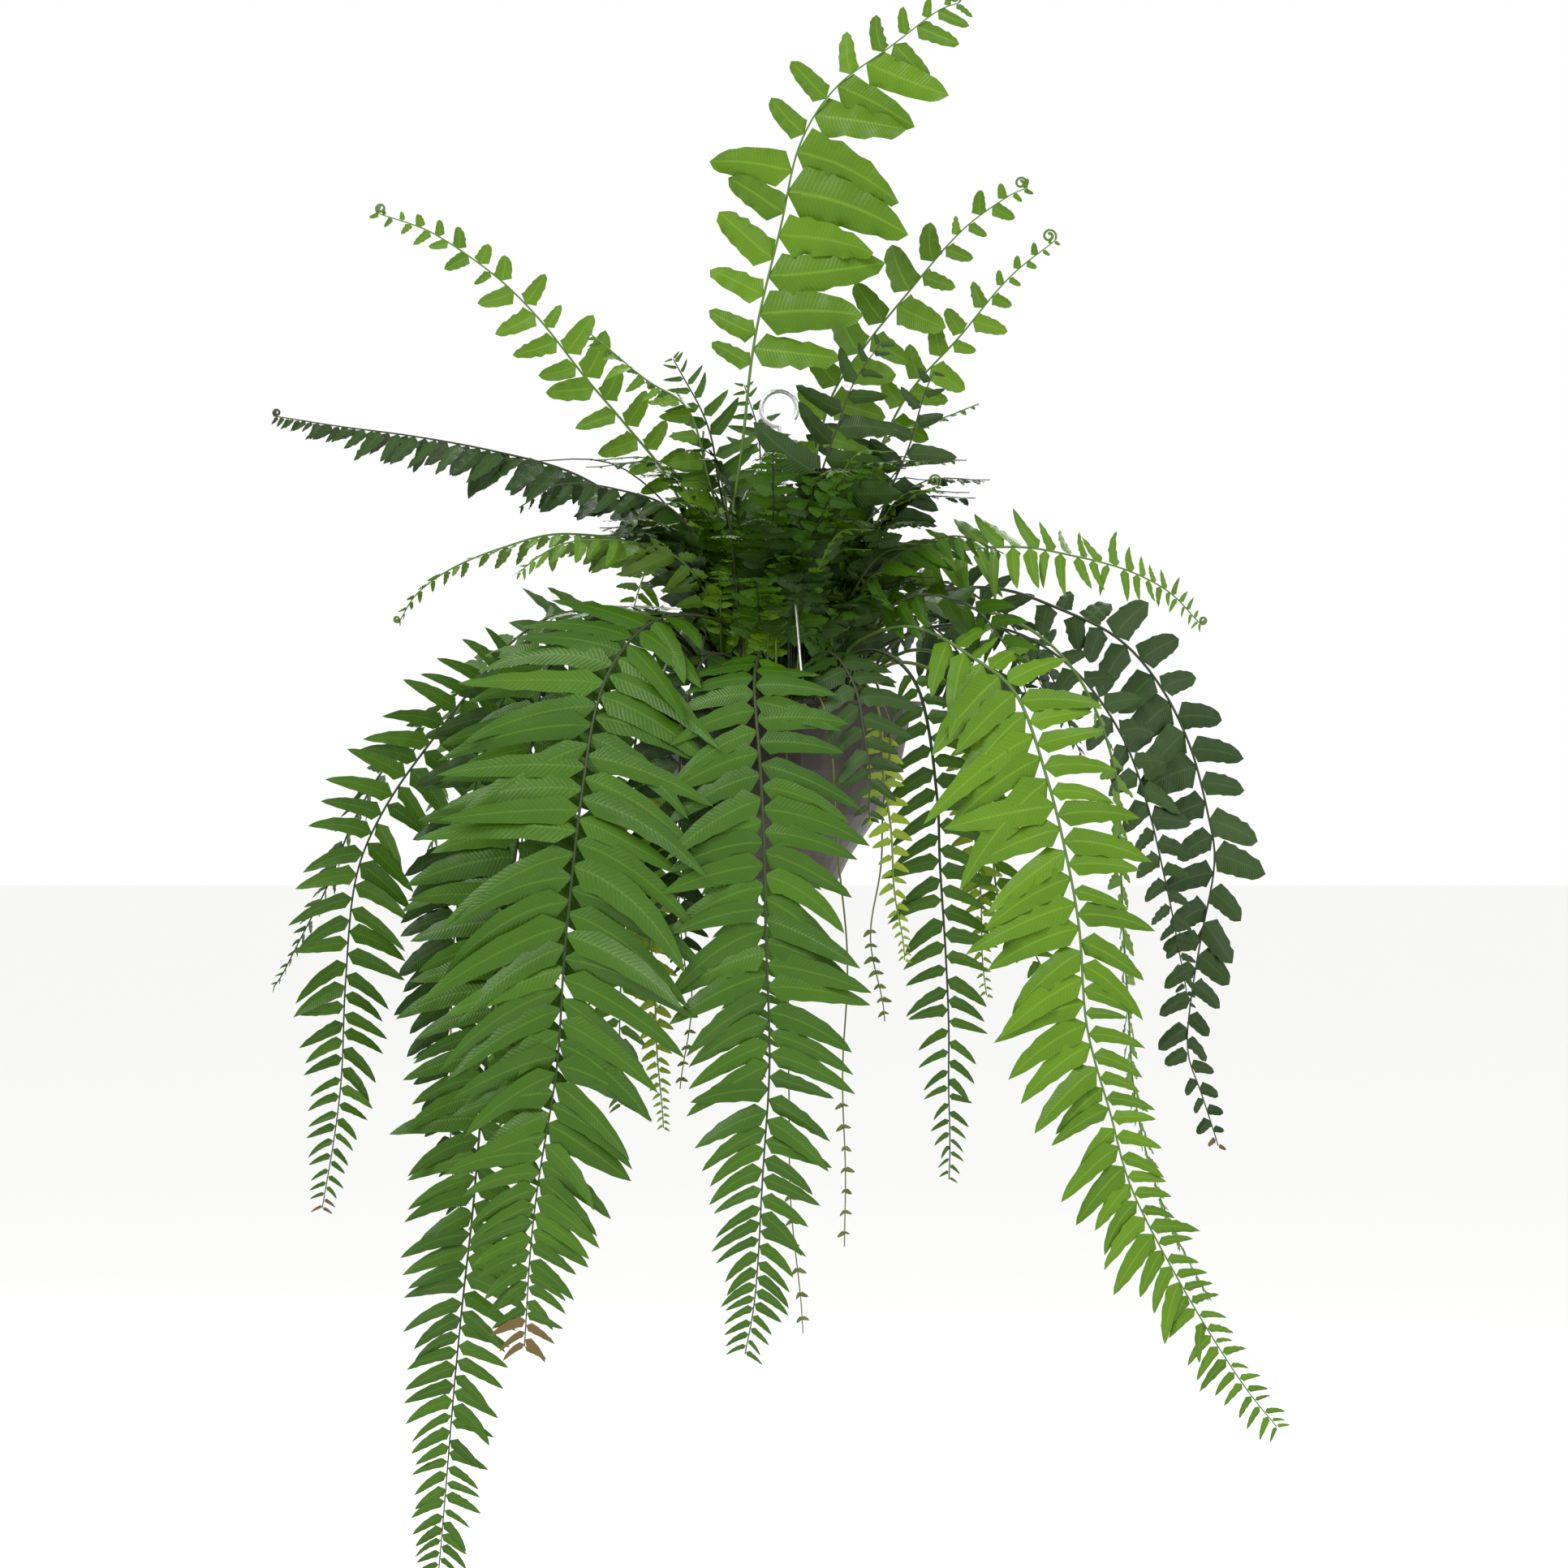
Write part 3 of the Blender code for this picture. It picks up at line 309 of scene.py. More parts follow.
# A leaflet's mesh: places across its width, points along it, and the fold between its halves
PLACES_ACROSS = np.array([-1.0, -0.55, 0.0, 0.55, 1.0])
POINTS_ALONG = 11
FOLD = 0.16
SHORTEST_LEAFLET = 5.0 * MM
USUAL_TAPER = 0.45

# Stems: sides, then the radius at the foot and at the tip in millimetres
STEM_SIDES = 6
MIDRIB_RADII = (1.5, 0.45)
CURL_RADII = (0.8, 1.3)
SPROUT_RADII = (1.1, 0.4)
RUNNER_RADII = (0.9, 0.45)
# How far a frond and a runner wander from their curves, in metres
FROND_WANDER = 0.0012
RUNNER_WANDER = 0.0018
RUNNER_STEPS = 90
RUNNER_LIFT = 1.2

# Potting mix and crown, in millimetres
CRUMBS = 1500
CRUMB_REACH = 97.0
CRUMB_LIMIT = 94.0
FLAT_REACH = 80.0
FLAT_Z = -10.5
EDGE_Z = -12.0
CROWN_REACH = 70.0
CROWN_RINGS = 14
CROWN_SECTORS = 40
SCALES = 1600
SCALE_REACH = 68.0

# Short fronds that crowd the crown
SPROUT_REACH = 55.0
SPROUT_STEPS = 40
FIRST_SPROUT_LEAFLET = 14
BARE_SPROUT_EVERY = 4

# The values that the materials read at each point
LAYERS = ("across", "along", "tone", "withered", "stem")


def crown_height(x, y):
    """Height of the crown over the rim, in millimetres."""
    reach = math.hypot(x, y)
    for (r0, z0), (r1, z1) in zip(CROWN_PROFILE, CROWN_PROFILE[1:]):
        if reach <= r1:
            return z0 + (z1 - z0) * (reach - r0) / (r1 - r0)
    return CROWN_PROFILE[-1][1]


def smooth_path(points, count):
    """Even points along a Catmull-Rom curve through the given ones."""
    points = np.array(points, dtype=float)
    knots = np.vstack([2 * points[0] - points[1], points, 2 * points[-1] - points[-2]])
    fine = []
    for before, start, end, after in zip(knots, knots[1:], knots[2:], knots[3:]):
        for t in np.arange(SPAN_STEPS) / SPAN_STEPS:
            fine.append(0.5 * (2 * start + (end - before) * t
                               + (2 * before - 5 * start + 4 * end - after) * t ** 2
                               + (3 * start - before - 3 * end + after) * t ** 3))
    fine = np.array(fine + [points[-1]])
    travelled = np.concatenate([[0.0], np.cumsum(np.linalg.norm(np.diff(fine, axis=0), axis=1))])
    wanted = np.linspace(0.0, travelled[-1], count + 1)
    return np.stack([np.interp(wanted, travelled, fine[:, k]) for k in range(3)], axis=1)


def path_points(path, lift):
    """A path in metres, with its first point on the crown."""
    first = (path[0][0], path[0][1], crown_height(path[0][0], path[0][1]) + lift)
    return np.array([first, *path[1:]], dtype=float) * MM + RIM_CENTRE


def unit(v):
    return v / max(1e-9, float(np.linalg.norm(v)))


def across_to(v, axis):
    """The direction of v once its part along a unit axis is taken off."""
    return unit(v - axis * np.dot(v, axis))


def turn(v, axis, angle):
    """v turned about a unit axis."""
    return (v * math.cos(angle) + np.cross(axis, v) * math.sin(angle)
            + axis * np.dot(axis, v) * (1 - math.cos(angle)))


def directions(path):
    """Unit tangents along a path."""
    tangents = np.gradient(path, axis=0)
    return tangents / np.maximum(1e-9, np.linalg.norm(tangents, axis=1, keepdims=True))


def envelope(share, taper):
    """Leaflet length along a blade, as a part of the longest."""
    rise = 0.6 + 0.4 * min(1.0, share / 0.18)
    fall = 1.0 - 0.82 * max(0.0, (share - taper) / (1.0 - taper)) ** 1.2
    return rise * fall


def point_values(count, across=0.0, along=0.0, tone=0.0, withered=0.0, stem=0.0):
    """One row for each point, with a column for each of LAYERS."""
    values = np.zeros((count, len(LAYERS)))
    for column, value in enumerate((across, along, tone, withered, stem)):
        values[:, column] = value
    return values


def link(item):
    bpy.context.scene.collection.objects.link(item)


class Builder:
    """Gathers points, faces and the values that the materials read."""

    def __init__(self):
        self.points, self.faces, self.values = [], [], []
        self.count = 0

    def add(self, points, faces, values):
        self.points.append(points)
        self.faces.append(faces + self.count)
        self.values.append(values)
        self.count += len(points)

    def make(self, name, material):
        values = np.vstack(self.values)
        mesh = bpy.data.meshes.new(name)
        mesh.from_pydata(np.vstack(self.points).tolist(), [], np.vstack(self.faces).tolist())
        for column, label in enumerate(LAYERS):
            layer = mesh.attributes.new(label, "FLOAT", "POINT")
            layer.data.foreach_set("value", values[:, column].astype(np.float32))
        mesh.shade_smooth()
        mesh.update()
        item = bpy.data.objects.new(name, mesh)
        link(item)
        mesh.materials.append(material)
        return item


def add_stem(build, path, radii, tone):
    """A round stem along a path."""
    count = len(path)
    tangents = directions(path)
    across = unit(np.cross(tangents[0], np.array([0.31, 0.17, 0.93])))
    angles = np.arange(STEM_SIDES) * 2 * math.pi / STEM_SIDES
    rings = []
    for place, tangent, radius in zip(path, tangents, radii):
        across = across_to(across, tangent)
        other = np.cross(tangent, across)
        rings.append(place + radius * (np.outer(np.cos(angles), across)
                                       + np.outer(np.sin(angles), other)))
    points = np.vstack(rings + [path[-1][None, :]])
    faces = []
    for i in range(count - 1):
        here, ahead = i * STEM_SIDES, (i + 1) * STEM_SIDES
        for k in range(STEM_SIDES):
            after = (k + 1) % STEM_SIDES
            faces.append((here + k, here + after, ahead + after, ahead + k))
    along = np.append(np.repeat(np.linspace(0, 1, count), STEM_SIDES), 1.0)
    build.add(points, np.array(faces), point_values(len(points), along=along, tone=tone, stem=1.0))


def leaflet_width(t, point):
    """Half width along a leaflet, 1 at its widest, from a short stalk to its tip."""
    stalk = np.clip(t / 0.07, 0.12, 1.0)
    round_end = np.sqrt(np.clip(1.0 - t ** 6, 0.0, 1.0)) * (1.0 - 0.12 * t)
    sharp_end = np.clip(1.0 - t ** 2.4, 0.0, 1.0) ** 0.9
    ear = 1.0 + 0.10 * np.exp(-((t - 0.10) / 0.08) ** 2)
    return stalk * (round_end * (1.0 - point) + sharp_end * point) * ear


def add_leaflet(build, root, out, tangent, face, length, width, look, rng, tone, withered=0.0):
    """One leaflet: a curved, folded and wavy blade from its root on the midrib."""
    t = np.linspace(0.0, 1.0, POINTS_ALONG) ** 0.92
    bend = math.radians(look["bend"] * (1 + 0.4 * rng.normal()))
    start = math.radians(rng.normal(2.0, 4.0))
    angle = start + bend * t
    steps = np.diff(t, prepend=0.0) * length
    centre = (np.outer(np.cumsum(np.cos(angle) * steps), out)
              + np.outer(np.cumsum(np.sin(angle) * steps), tangent))
    sag = look["sag"] * (1 + 0.5 * rng.normal())
    level = 1.0 - abs(out[2])
    centre += np.outer(t ** 2, -UP) * length * sag * level
    curl = 0.07 * rng.normal()
    centre += np.outer(t ** 2, face) * length * curl
    ahead = -np.outer(np.sin(angle), out) + np.outer(np.cos(angle), tangent)
    roll = rng.normal(0.0, 0.16) + rng.normal(0.0, 0.18) * t
    lift = np.cos(roll)[:, None] * face + np.sin(roll)[:, None] * ahead * -1.0
    side = np.cos(roll)[:, None] * ahead + np.sin(roll)[:, None] * face
    half = width * leaflet_width(t, look["point"]) * 0.5
    half *= 1.0 + 0.05 * np.sin(t * 40.0 + rng.uniform(0, 6.28))
    phase = rng.uniform(0.0, 2 * math.pi, 2)
    waves = rng.uniform(3.0, 4.6)
    points, values = [], []
    for v in PLACES_ACROSS:
        ripple = np.sin(t * waves * 2 * math.pi + phase[0 if v < 0 else 1])
        ripple = look["wave"] * width * (v * v) * ripple * np.sin(np.pi * t) ** 0.3
        height = -FOLD * half * abs(v) + ripple
        points.append(root + centre + side * (half * v)[:, None] + lift * height[:, None])
        values.append(point_values(POINTS_ALONG, v, t, tone, withered))
    faces = []
    for column in range(len(PLACES_ACROSS) - 1):
        for i in range(POINTS_ALONG - 1):
            a = column * POINTS_ALONG + i
            b = a + POINTS_ALONG
            faces.append((a, a + 1, b + 1, b))
    build.add(np.vstack(points), np.array(faces), np.vstack(values))


def fiddlehead(end, tangent, bend_axis, radius):
    """Points of a curl that tightens from the end of a path."""
    points = []
    place, heading = end, tangent
    for i in range(CURL_POINTS):
        tightness = radius * (1.0 - 0.75 * i / CURL_POINTS)
        heading = turn(heading, bend_axis, CURL_TURN)
        place = place + heading * (tightness * CURL_TURN)
        points.append(place)
    return np.array(points)


def add_midrib(build, name, path, tangents, wanted):
    """A frond's stalk and midrib, with the curl at its tip if it has one."""
    stem_path = path[::5]
    radii = np.linspace(*MIDRIB_RADII, len(stem_path)) * MM
    if name in CURLS:
        axis = unit(np.cross(tangents[-1], UP if abs(tangents[-1][2]) < 0.9 else wanted))
        curl = fiddlehead(path[-1], tangents[-1], axis, CURLS[name] * MM)
        stem_path = np.vstack([stem_path, curl])
        radii = np.concatenate([radii, np.linspace(*CURL_RADII, len(curl)) * MM])
    add_stem(build, stem_path, radii, 0.5)


def build_frond(name, spec, material, seed):
    """A whole frond: midrib, curl, and leaflets in two rows from its bare stalk to its tip."""
    rng = np.random.default_rng(seed)
    look = dict(LOOKS[spec["leaf"]], **SPECIAL.get(name, {}))
    vary = look["vary"]
    path = smooth_path(path_points(spec["path"], 0.0), PATH_STEPS)
    along = np.linspace(0, 1, PATH_STEPS + 1)[:, None]
    wobble = np.sin(along * np.array([21.0, 17.0, 13.0]) + rng.uniform(0, 6, 3))
    path = path + wobble * FROND_WANDER * along
    length = np.linalg.norm(np.diff(path, axis=0), axis=1).sum()
    tangents = directions(path)
    heading = math.radians(spec["heading"])
    wanted = np.array([math.cos(heading), math.sin(heading), 0.0])
    build = Builder()
    add_midrib(build, name, path, tangents, wanted)
    bare = spec["bare"]
    taper = spec.get("taper", USUAL_TAPER)
    blade = length * (1 - bare)
    place = 0.0
    while place < 1.0:
        crowding = 0.35 + 0.65 * min(1.0, envelope(place, taper) / 0.85)
        spacing = look["spacing"] * MM * crowding * (1 + 0.06 * rng.normal())
        for way, row in ((-1, "left"), (1, "right")):
            share = place + (0.5 if way > 0 else 0.0) * spacing / blade + 0.1 * spacing / blade
            share = min(0.999, share)
            index = min(PATH_STEPS, round(PATH_STEPS * (bare + (1 - bare) * share)))
            tangent = tangents[index]
            side = across_to(wanted, tangent)
            side = turn(side, tangent, math.radians(spec.get("roll", 0)))
            steep = abs(tangent[2])
            level = unit(np.array([path[index][0], path[index][1], 0.0]))
            drop = spec["droop"] + look.get("drop_" + row, 0)
            drop = math.radians(drop + rng.normal(0.0, 5.0 + 26.0 * vary))
            fall = -UP * (1 - steep) + level * 0.3 * steep
            out = across_to(side * way * math.cos(drop) + fall * math.sin(drop), tangent)
            forward = 2.0 + 20.0 * share + look.get("lean_" + row, 0)
            forward = math.radians(forward + rng.normal(0.0, 3.0 + 20.0 * vary))
            aim = unit(out * math.cos(forward) + tangent * math.sin(forward))
            on = across_to(tangent, aim)
            face = unit(np.cross(aim, on)) * way
            if np.dot(face, UP * 0.4 + level) < 0:
                face = -face
            reach = spec["reach"] * MM * envelope(share, taper) * (1 + vary * 0.6 * rng.normal())
            reach = max(reach * look.get(row, 1.0), SHORTEST_LEAFLET)
            width = min(reach * look["width"], spacing * 1.25) * (1 + 0.08 * rng.normal())
            withered = 1.0 if share > 1.0 - WITHERED.get(name, 0.0) else 0.0
            tone = float(np.clip(rng.normal(0.5, 0.2), 0, 1))
            root = path[index] + out * 0.6 * MM
            add_leaflet(build, root, aim, on, face, reach, width, look, rng, tone, withered)
        place += spacing / blade
    return build.make(name + "_leaf", material)


def build_soil(material):
    """Crumbs of potting mix heaped a little unevenly on the flat solid."""
    rng = np.random.default_rng(5)
    build = Builder()
    crumb = np.array([[0, 0, 1], [0.9, 0, 0.3], [0.28, 0.86, 0.3], [-0.73, 0.53, 0.3],
                      [-0.73, -0.53, 0.3], [0.28, -0.86, 0.3], [0, 0, -0.8]])
    faces = np.array([(0, 1, 2), (0, 2, 3), (0, 3, 4), (0, 4, 5), (0, 5, 1),
                      (6, 2, 1), (6, 3, 2), (6, 4, 3), (6, 5, 4), (6, 1, 5)])
    for _ in range(CRUMBS):
        r = CRUMB_REACH * math.sqrt(rng.uniform(0.05, 1.0))
        a = rng.uniform(0, 2 * math.pi)
        size = rng.uniform(1.0, 3.4)
        z = FLAT_Z if r < FLAT_REACH else EDGE_Z
        near = min(r, CRUMB_LIMIT)
        centre = np.array([near * math.cos(a), near * math.sin(a), z])
        points = (centre + crumb * size * rng.uniform(0.6, 1.2, (7, 3))) * MM + RIM_CENTRE
        build.add(points, faces, point_values(len(crumb), tone=rng.uniform()))
    return build.make("potting_mix_crumbs", material)


def build_crown(material):
    """The crown: a lumpy dome clothed in short brown scales."""
    rng = np.random.default_rng(8)
    build = Builder()
    points, faces = [], []
    for i in range(CROWN_RINGS + 1):
        r = CROWN_REACH * i / CROWN_RINGS
        for k in range(CROWN_SECTORS):
            a = 2 * math.pi * k / CROWN_SECTORS
            lump = 1.2 * math.sin(3 * a + r * 0.11) + 0.9 * math.sin(7 * a - r * 0.2)
            lump *= min(1.0, r / 30.0) * (1 - i / CROWN_RINGS)
            x, y = r * math.cos(a), r * math.sin(a)
            points.append((x, y, crown_height(x, y) - 0.6 + lump))
    for i in range(CROWN_RINGS):
        here, ahead = i * CROWN_SECTORS, (i + 1) * CROWN_SECTORS
        for k in range(CROWN_SECTORS):
            after = (k + 1) % CROWN_SECTORS
            faces.append((here + k, ahead + k, ahead + after, here + after))
    points = np.array(points) * MM + RIM_CENTRE
    build.add(points, np.array(faces), point_values(len(points), tone=0.4))
    for _ in range(SCALES):
        r = SCALE_REACH * math.sqrt(rng.uniform())
        a = rng.uniform(0, 2 * math.pi)
        x, y = r * math.cos(a), r * math.sin(a)
        foot = np.array([x, y, crown_height(x, y) - 0.5]) * MM + RIM_CENTRE
        lean = unit(np.array([math.cos(a), math.sin(a), 0.0]) * rng.uniform(0.2, 1.2)
                    + rng.normal(0, 0.5, 3) * np.array([1, 1, 0]) + UP)
        across = unit(np.cross(lean, rng.normal(0, 1, 3)))
        tall, wide = rng.uniform(4.0, 11.0) * MM, rng.uniform(0.5, 1.1) * MM
        tip = foot + lean * tall
        scale = np.array([foot - across * wide, foot + across * wide,
                          tip + across * wide * 0.2, tip - across * wide * 0.2])
        build.add(scale, np.array([(0, 1, 2, 3)]), point_values(len(scale), tone=rng.uniform()))
    return build.make("rhizome_crown_scales", material)


def build_sprouts(name, material, seed, total, size):
    """Short fronds and bare stalks that crowd the crown."""
    rng = np.random.default_rng(seed)
    build = Builder()
    look = dict(LOOKS["young"], wave=0.08, vary=0.2)
    for number in range(total):
        a = rng.uniform(0, 2 * math.pi)
        r = SPROUT_REACH * math.sqrt(rng.uniform(0.02, 1.0))
        x, y = r * math.cos(a), r * math.sin(a)
        tall = rng.uniform(60.0, 190.0)
        lean = rng.uniform(0.1, 0.75) * tall * 0.7
        spin = rng.normal(0.0, 0.4)
        foot = np.array([x, y, crown_height(x, y)])
        away = np.array([math.cos(a + spin), math.sin(a + spin), 0.0])
        knots = np.array([foot, foot + away * lean * 0.25 + UP * tall * 0.5,
                          foot + away * lean + UP * tall * 0.92,
                          foot + away * lean * 1.9 + UP * tall * 0.95])
        path = smooth_path(knots * MM + RIM_CENTRE, SPROUT_STEPS)
        stalk = path[::2]
        add_stem(build, stalk, np.linspace(*SPROUT_RADII, len(stalk)) * MM, rng.uniform())
        if number % BARE_SPROUT_EVERY == 0:
            continue
        tangents = directions(path)
        across = unit(np.cross(away, UP))
        blade = SPROUT_STEPS - FIRST_SPROUT_LEAFLET
        for index in range(FIRST_SPROUT_LEAFLET, SPROUT_STEPS, 2):
            shrink = 1.15 - 0.8 * (index - FIRST_SPROUT_LEAFLET) / blade
            for way in (-1, 1):
                tangent = tangents[index]
                side = across_to(across, tangent) * way
                aim = unit(side + tangent * 0.35 - UP * 0.15 + rng.normal(0, 0.12, 3))
                on = across_to(tangent, aim)
                reach = size * rng.uniform(0.7, 1.3) * MM * shrink
                face = unit(np.cross(aim, on)) * way
                add_leaflet(build, path[index], aim, on, face, reach, reach * 0.45, look, rng,
                            rng.uniform())
    return build.make(name, material)


def build_runner(name, path, material, seed):
    """A thin runner with a few tiny leaflets near its end."""
    rng = np.random.default_rng(seed)
    points = smooth_path(path_points(path, RUNNER_LIFT), RUNNER_STEPS)
    along = np.linspace(0, 1, RUNNER_STEPS + 1)[:, None]
    wave = np.sin(along * np.array([19.0, 23.0, 0.0]) + rng.uniform(0, 6, 3))
    points = points + wave * RUNNER_WANDER * along ** 0.5 * np.array([1.0, 1.0, 0.0])
    build = Builder()
    add_stem(build, points, np.linspace(*RUNNER_RADII, len(points)) * MM, 0.5)
    for index in range(70, RUNNER_STEPS, 3):
        for way in (-1, 1):
            aim = unit(np.array([way, rng.normal(0, 0.5), -0.5]))
            on = unit(np.cross(aim, np.array([0.0, 1.0, 0.1])))
            reach = rng.uniform(4.0, 8.0) * MM
            add_leaflet(build, points[index], aim, on, unit(np.cross(aim, on)), reach,
                        reach * 0.5, LOOKS["young"], rng, rng.uniform())
    return build.make(name + "_stem", material)


def new_material(name):
    material = bpy.data.materials.new(name)
    material.use_nodes = True
    tree = material.node_tree
    return material, tree.nodes, tree.links, tree.nodes["Principled BSDF"]


def attribute(nodes, name):
    node = nodes.new("ShaderNodeAttribute")
    node.attribute_type = "GEOMETRY"
    node.attribute_name = name
    return node.outputs["Fac"]


def maths(nodes, links, operation, a, b=None, c=None, clamp=False):
    node = nodes.new("ShaderNodeMath")
    node.operation = operation
    node.use_clamp = clamp
    for socket, value in zip(node.inputs, (a, b, c)):
        if value is None:
            continue
        if isinstance(value, (int, float)):
            socket.default_value = value
        else:
            links.new(value, socket)
    return node.outputs[0]


def blend_colour(nodes, links, factor, a, b):
    node = nodes.new("ShaderNodeMix")
    node.data_type = "RGBA"
    for socket, value in ((node.inputs[0], factor), (node.inputs[6], a), (node.inputs[7], b)):
        if isinstance(value, tuple):
            socket.default_value = (*value, 1.0)
        else:
            links.new(value, socket)
    return node.outputs[2]


def noise(nodes, links, scale, detail=3.0, roughness=0.55):
    coords = nodes.new("ShaderNodeTexCoord")
    node = nodes.new("ShaderNodeTexNoise")
    node.inputs["Scale"].default_value = scale
    node.inputs["Detail"].default_value = detail
    node.inputs["Roughness"].default_value = roughness
    links.new(coords.outputs["Object"], node.inputs["Vector"])
    return node.outputs["Fac"]


def add_bump(nodes, links, shader, height, strength, distance):
    bump = nodes.new("ShaderNodeBump")
    bump.inputs["Strength"].default_value = strength
    bump.inputs["Distance"].default_value = distance
    links.new(height, bump.inputs["Height"])
    links.new(bump.outputs["Normal"], shader.inputs["Normal"])


def leaf_material(name, deep, light, vein, stem, roughness):
    """Patchy green with a pale midrib, slanting side veins and a stem colour."""
    material, nodes, links, shader = new_material(name)
    across, along, tone, withered, stemmed = (attribute(nodes, label) for label in LAYERS)
    patches = noise(nodes, links, 28.0)
    mixed = maths(nodes, links, "ADD", maths(nodes, links, "MULTIPLY", tone, 0.6),
                  maths(nodes, links, "MULTIPLY", patches, 0.45), clamp=True)
    colour = blend_colour(nodes, links, mixed, deep, light)
    distance = maths(nodes, links, "ABSOLUTE", across)
    skewed = maths(nodes, links, "ADD", maths(nodes, links, "MULTIPLY", along, 26.0),
                   maths(nodes, links, "MULTIPLY", distance, -2.2))
    ribs = maths(nodes, links, "SINE", maths(nodes, links, "MULTIPLY", skewed, 6.2832))
    ribs = maths(nodes, links, "MULTIPLY_ADD", ribs, 0.5, 0.5)
    faint = maths(nodes, links, "MULTIPLY", ribs, 0.16)
    colour = blend_colour(nodes, links, faint, colour, deep)
    midrib = maths(nodes, links, "SUBTRACT", 1.0,
                   maths(nodes, links, "MULTIPLY", distance, 9.0), clamp=True)
    faint = maths(nodes, links, "MULTIPLY", midrib, 0.5)
    colour = blend_colour(nodes, links, faint, colour, vein)
    colour = blend_colour(nodes, links, stemmed, colour, stem)
    colour = blend_colour(nodes, links, withered, colour, WITHERED_BROWN)
    links.new(colour, shader.inputs["Base Color"])
    shader.inputs["Roughness"].default_value = roughness
    shader.inputs["Specular IOR Level"].default_value = LEAF_SPECULAR
    height = maths(nodes, links, "ADD", maths(nodes, links, "MULTIPLY", ribs, 0.6),
                   noise(nodes, links, 260.0, 2.0))
    add_bump(nodes, links, shader, height, 0.35, 0.0006)
    return material


def rough_material(name, dark, light, scale, roughness, metallic=0.0, bump=0.0008):
    """A grainy surface between two colours, with uneven roughness."""
    material, nodes, links, shader = new_material(name)
    grain = noise(nodes, links, scale, 6.0, 0.65)
    links.new(blend_colour(nodes, links, grain, dark, light), shader.inputs["Base Color"])
    uneven = maths(nodes, links, "MULTIPLY_ADD", noise(nodes, links, scale * 0.4), 0.25,
                   roughness - 0.125)
    links.new(uneven, shader.inputs["Roughness"])
    shader.inputs["Metallic"].default_value = metallic
    add_bump(nodes, links, shader, grain, 0.5, bump)
    return material


def paint(item, material):
    for place in item.material_slots:
        place.material = material


def add_light(name, place, aim, size, power):
    lamp = bpy.data.lights.new(name, "AREA")
    lamp.shape = "RECTANGLE"
    lamp.size = size
    lamp.size_y = size
    lamp.energy = power
    item = bpy.data.objects.new(name, lamp)
    item.location = place
    item.rotation_euler = (Vector(aim) - Vector(place)).to_track_quat("-Z", "Y").to_euler()
    link(item)


def build_stage():
    """A plain pale floor, white surroundings and three soft lights."""
    mesh = bpy.data.meshes.new("floor")
    corners = [(x * FLOOR_REACH, y * FLOOR_REACH, FLOOR_Z)
               for x, y in ((-1, -1), (1, -1), (1, 1), (-1, 1))]
    mesh.from_pydata(corners, [], [(0, 1, 2, 3)])
    floor = bpy.data.objects.new("floor", mesh)
    link(floor)
    material, _, _, shader = new_material("floor_paint")
    shader.inputs["Base Color"].default_value = (0.93, 0.93, 0.92, 1.0)
    shader.inputs["Roughness"].default_value = 0.9
    mesh.materials.append(material)
    world = bpy.data.worlds.new("studio")
    world.use_nodes = True
    world.node_tree.nodes["Background"].inputs["Color"].default_value = (1.0, 1.0, 1.0, 1.0)
    world.node_tree.nodes["Background"].inputs["Strength"].default_value = 1.0
    bpy.context.scene.world = world
    bpy.context.scene.view_settings.view_transform = "Standard"
    add_light("key", (-1.8, -2.2, 2.0), (0, 0, -0.3), 1.6, 90.0)
    add_light("fill", (2.4, -1.6, 0.6), (0, 0, -0.3), 2.0, 35.0)
    add_light("rim", (0.6, 2.4, 1.6), (0, 0, -0.2), 1.6, 60.0)


def build_camera():
    camera = bpy.data.cameras.new("camera")
    camera.sensor_width = SENSOR
    camera.lens = SENSOR * CAMERA_DISTANCE / VIEW_WIDTH
    camera.clip_end = 200.0
    item = bpy.data.objects.new("camera", camera)
    item.location = (CAMERA_X, -CAMERA_DISTANCE, CAMERA_Z)
    item.rotation_euler = (math.radians(90.0), 0.0, 0.0)
    link(item)
    bpy.context.scene.camera = item


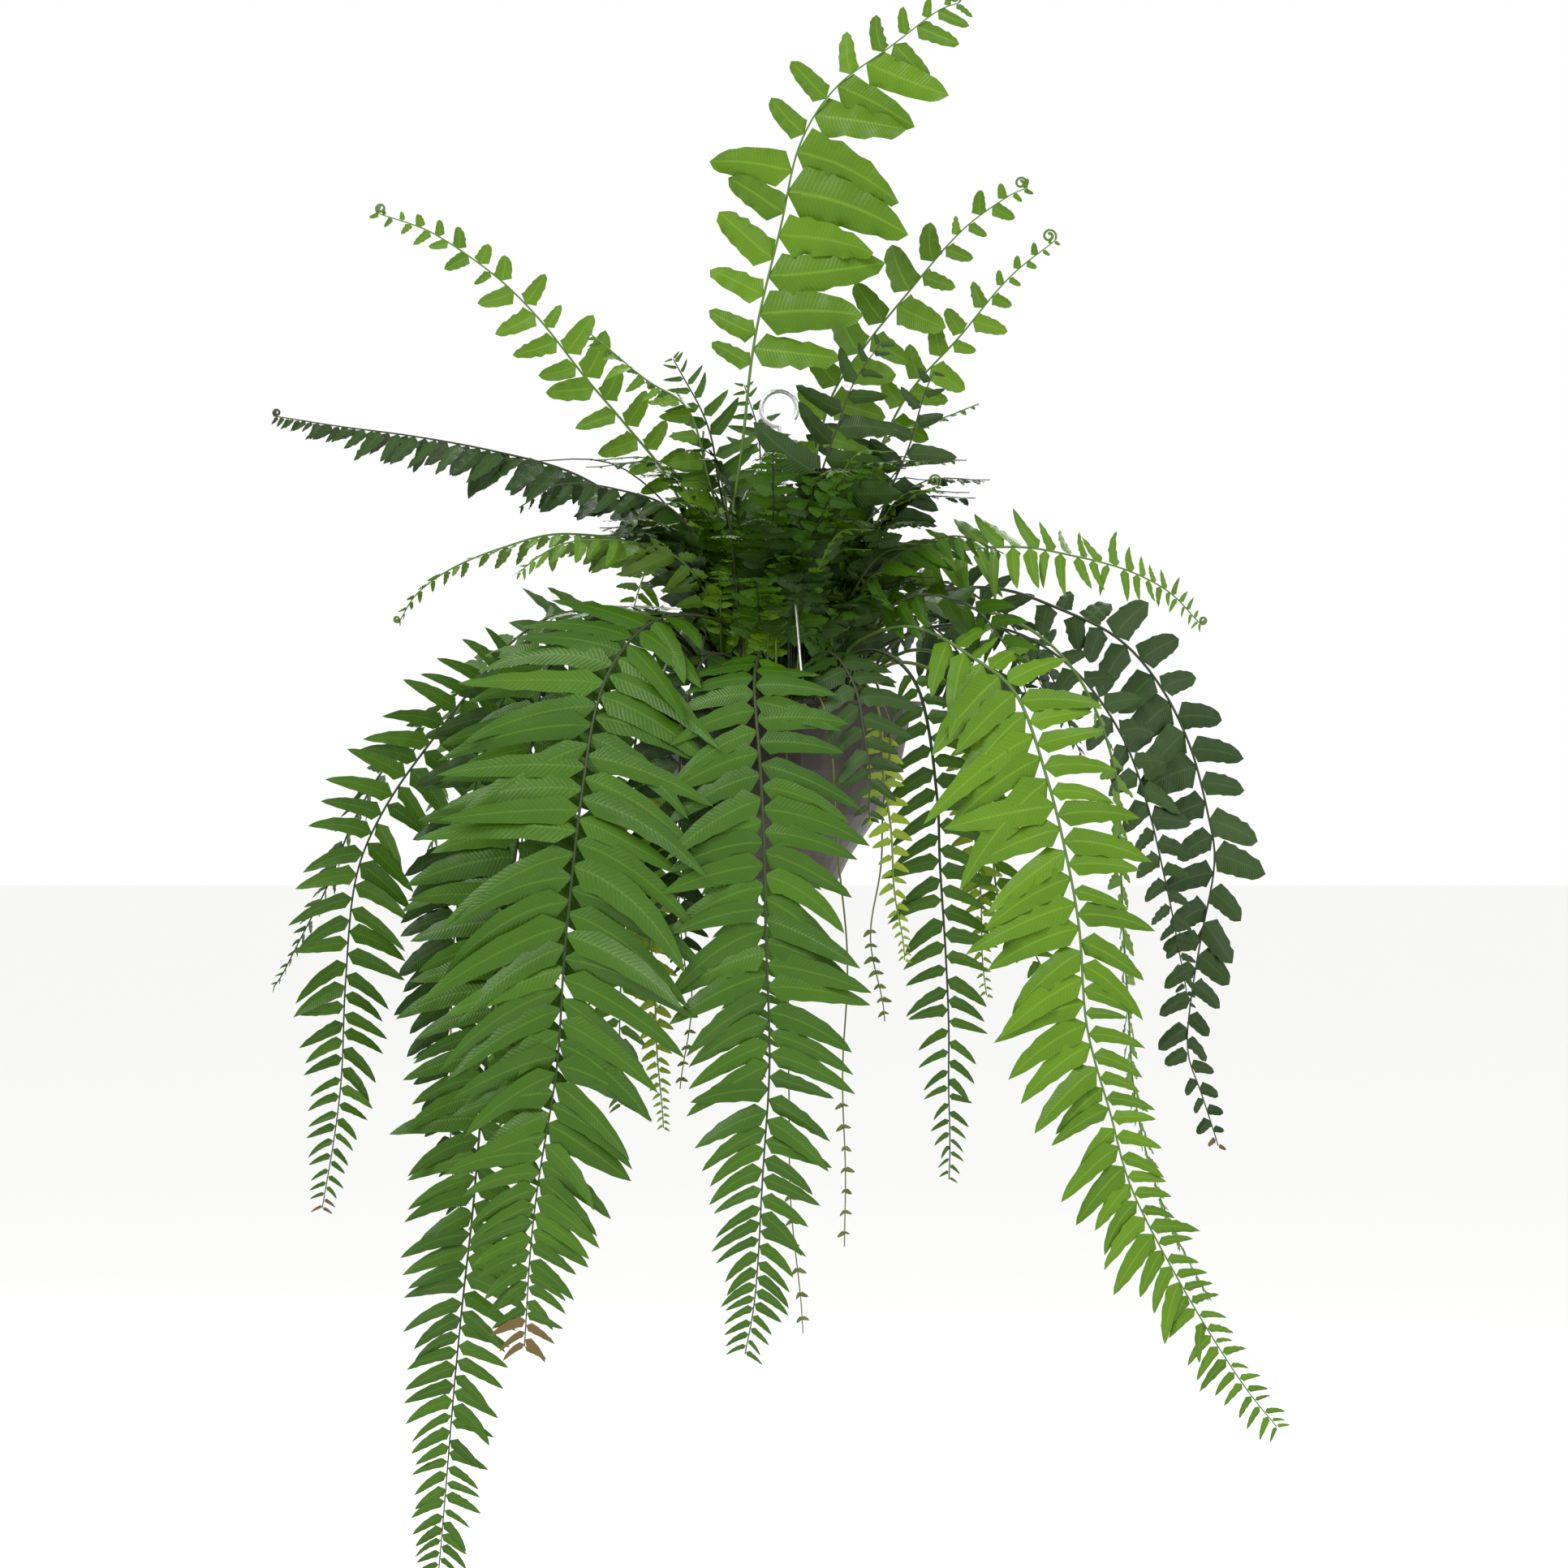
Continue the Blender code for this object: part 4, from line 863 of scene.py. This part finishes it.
def main():
    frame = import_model()
    nodes = frame["nodes"]
    # Deep green, light green, vein and stem colours, then roughness
    leaves = {
        "mature": leaf_material("leaf_mature", (0.014, 0.052, 0.001), (0.050, 0.128, 0.002),
                                (0.08, 0.17, 0.015), (0.022, 0.036, 0.008), 0.38),
        "dark": leaf_material("leaf_dark", (0.007, 0.024, 0.002), (0.024, 0.062, 0.004),
                              (0.04, 0.09, 0.015), (0.030, 0.040, 0.016), 0.42),
        "young": leaf_material("leaf_young", (0.032, 0.090, 0.001), (0.105, 0.215, 0.002),
                               (0.15, 0.28, 0.02), (0.075, 0.140, 0.025), 0.42),
        "yellow": leaf_material("leaf_yellow", (0.130, 0.230, 0.012), (0.260, 0.330, 0.020),
                                (0.30, 0.38, 0.05), (0.140, 0.190, 0.030), 0.5),
    }
    stem = leaf_material("runner_stem", (0.075, 0.110, 0.020), (0.140, 0.170, 0.040),
                         (0.15, 0.2, 0.05), (0.110, 0.120, 0.035), 0.6)
    plastic = rough_material("pot_plastic", (0.020, 0.013, 0.009), (0.040, 0.027, 0.018), 160.0,
                             0.48, bump=0.0002)
    earth = rough_material("potting_mix", (0.010, 0.006, 0.004), (0.065, 0.040, 0.022), 420.0,
                           0.92)
    scales = rough_material("crown_scales", (0.022, 0.011, 0.005), (0.130, 0.070, 0.030), 380.0,
                            0.85)
    steel = rough_material("galvanised_wire", (0.38, 0.39, 0.39), (0.58, 0.59, 0.59), 300.0,
                           0.38, 1.0, bump=0.0001)
    paint(nodes["pot"], plastic)
    paint(nodes["potting_mix"], earth)
    for name in ("hanger_wire_front", "hanger_wire_right", "hanger_wire_left", "hanger_cap",
                 "hanger_hook"):
        paint(nodes[name], steel)

    made = []
    for seed, (name, spec) in enumerate(FRONDS.items()):
        frond = build_frond(name, spec, leaves[spec["leaf"]], 100 + seed)
        made.append((frond, name, "leaf_" + spec["leaf"]))
    for seed, (name, path) in enumerate(RUNNERS.items()):
        made.append((build_runner(name, path, stem, 300 + seed), name, "runner_stem"))
    made.append((build_crown(scales), "rhizome_crown", "crown_scales"))
    for piece, node, slot in made:
        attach(piece, "root")
        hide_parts(node)
    extras = [
        (build_soil(earth), "potting_mix"),
        (build_sprouts("crown_sprouts_bright", leaves["young"], 21, 40, 13.0), "leaf_young"),
        (build_sprouts("crown_sprouts_green", leaves["mature"], 22, 64, 24.0), "leaf_mature"),
        (build_sprouts("crown_sprouts_dark", leaves["dark"], 23, 44, 30.0), "leaf_dark"),
    ]
    for piece, slot in extras:
        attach(piece, "root")

    build_stage()
    build_camera()


main()
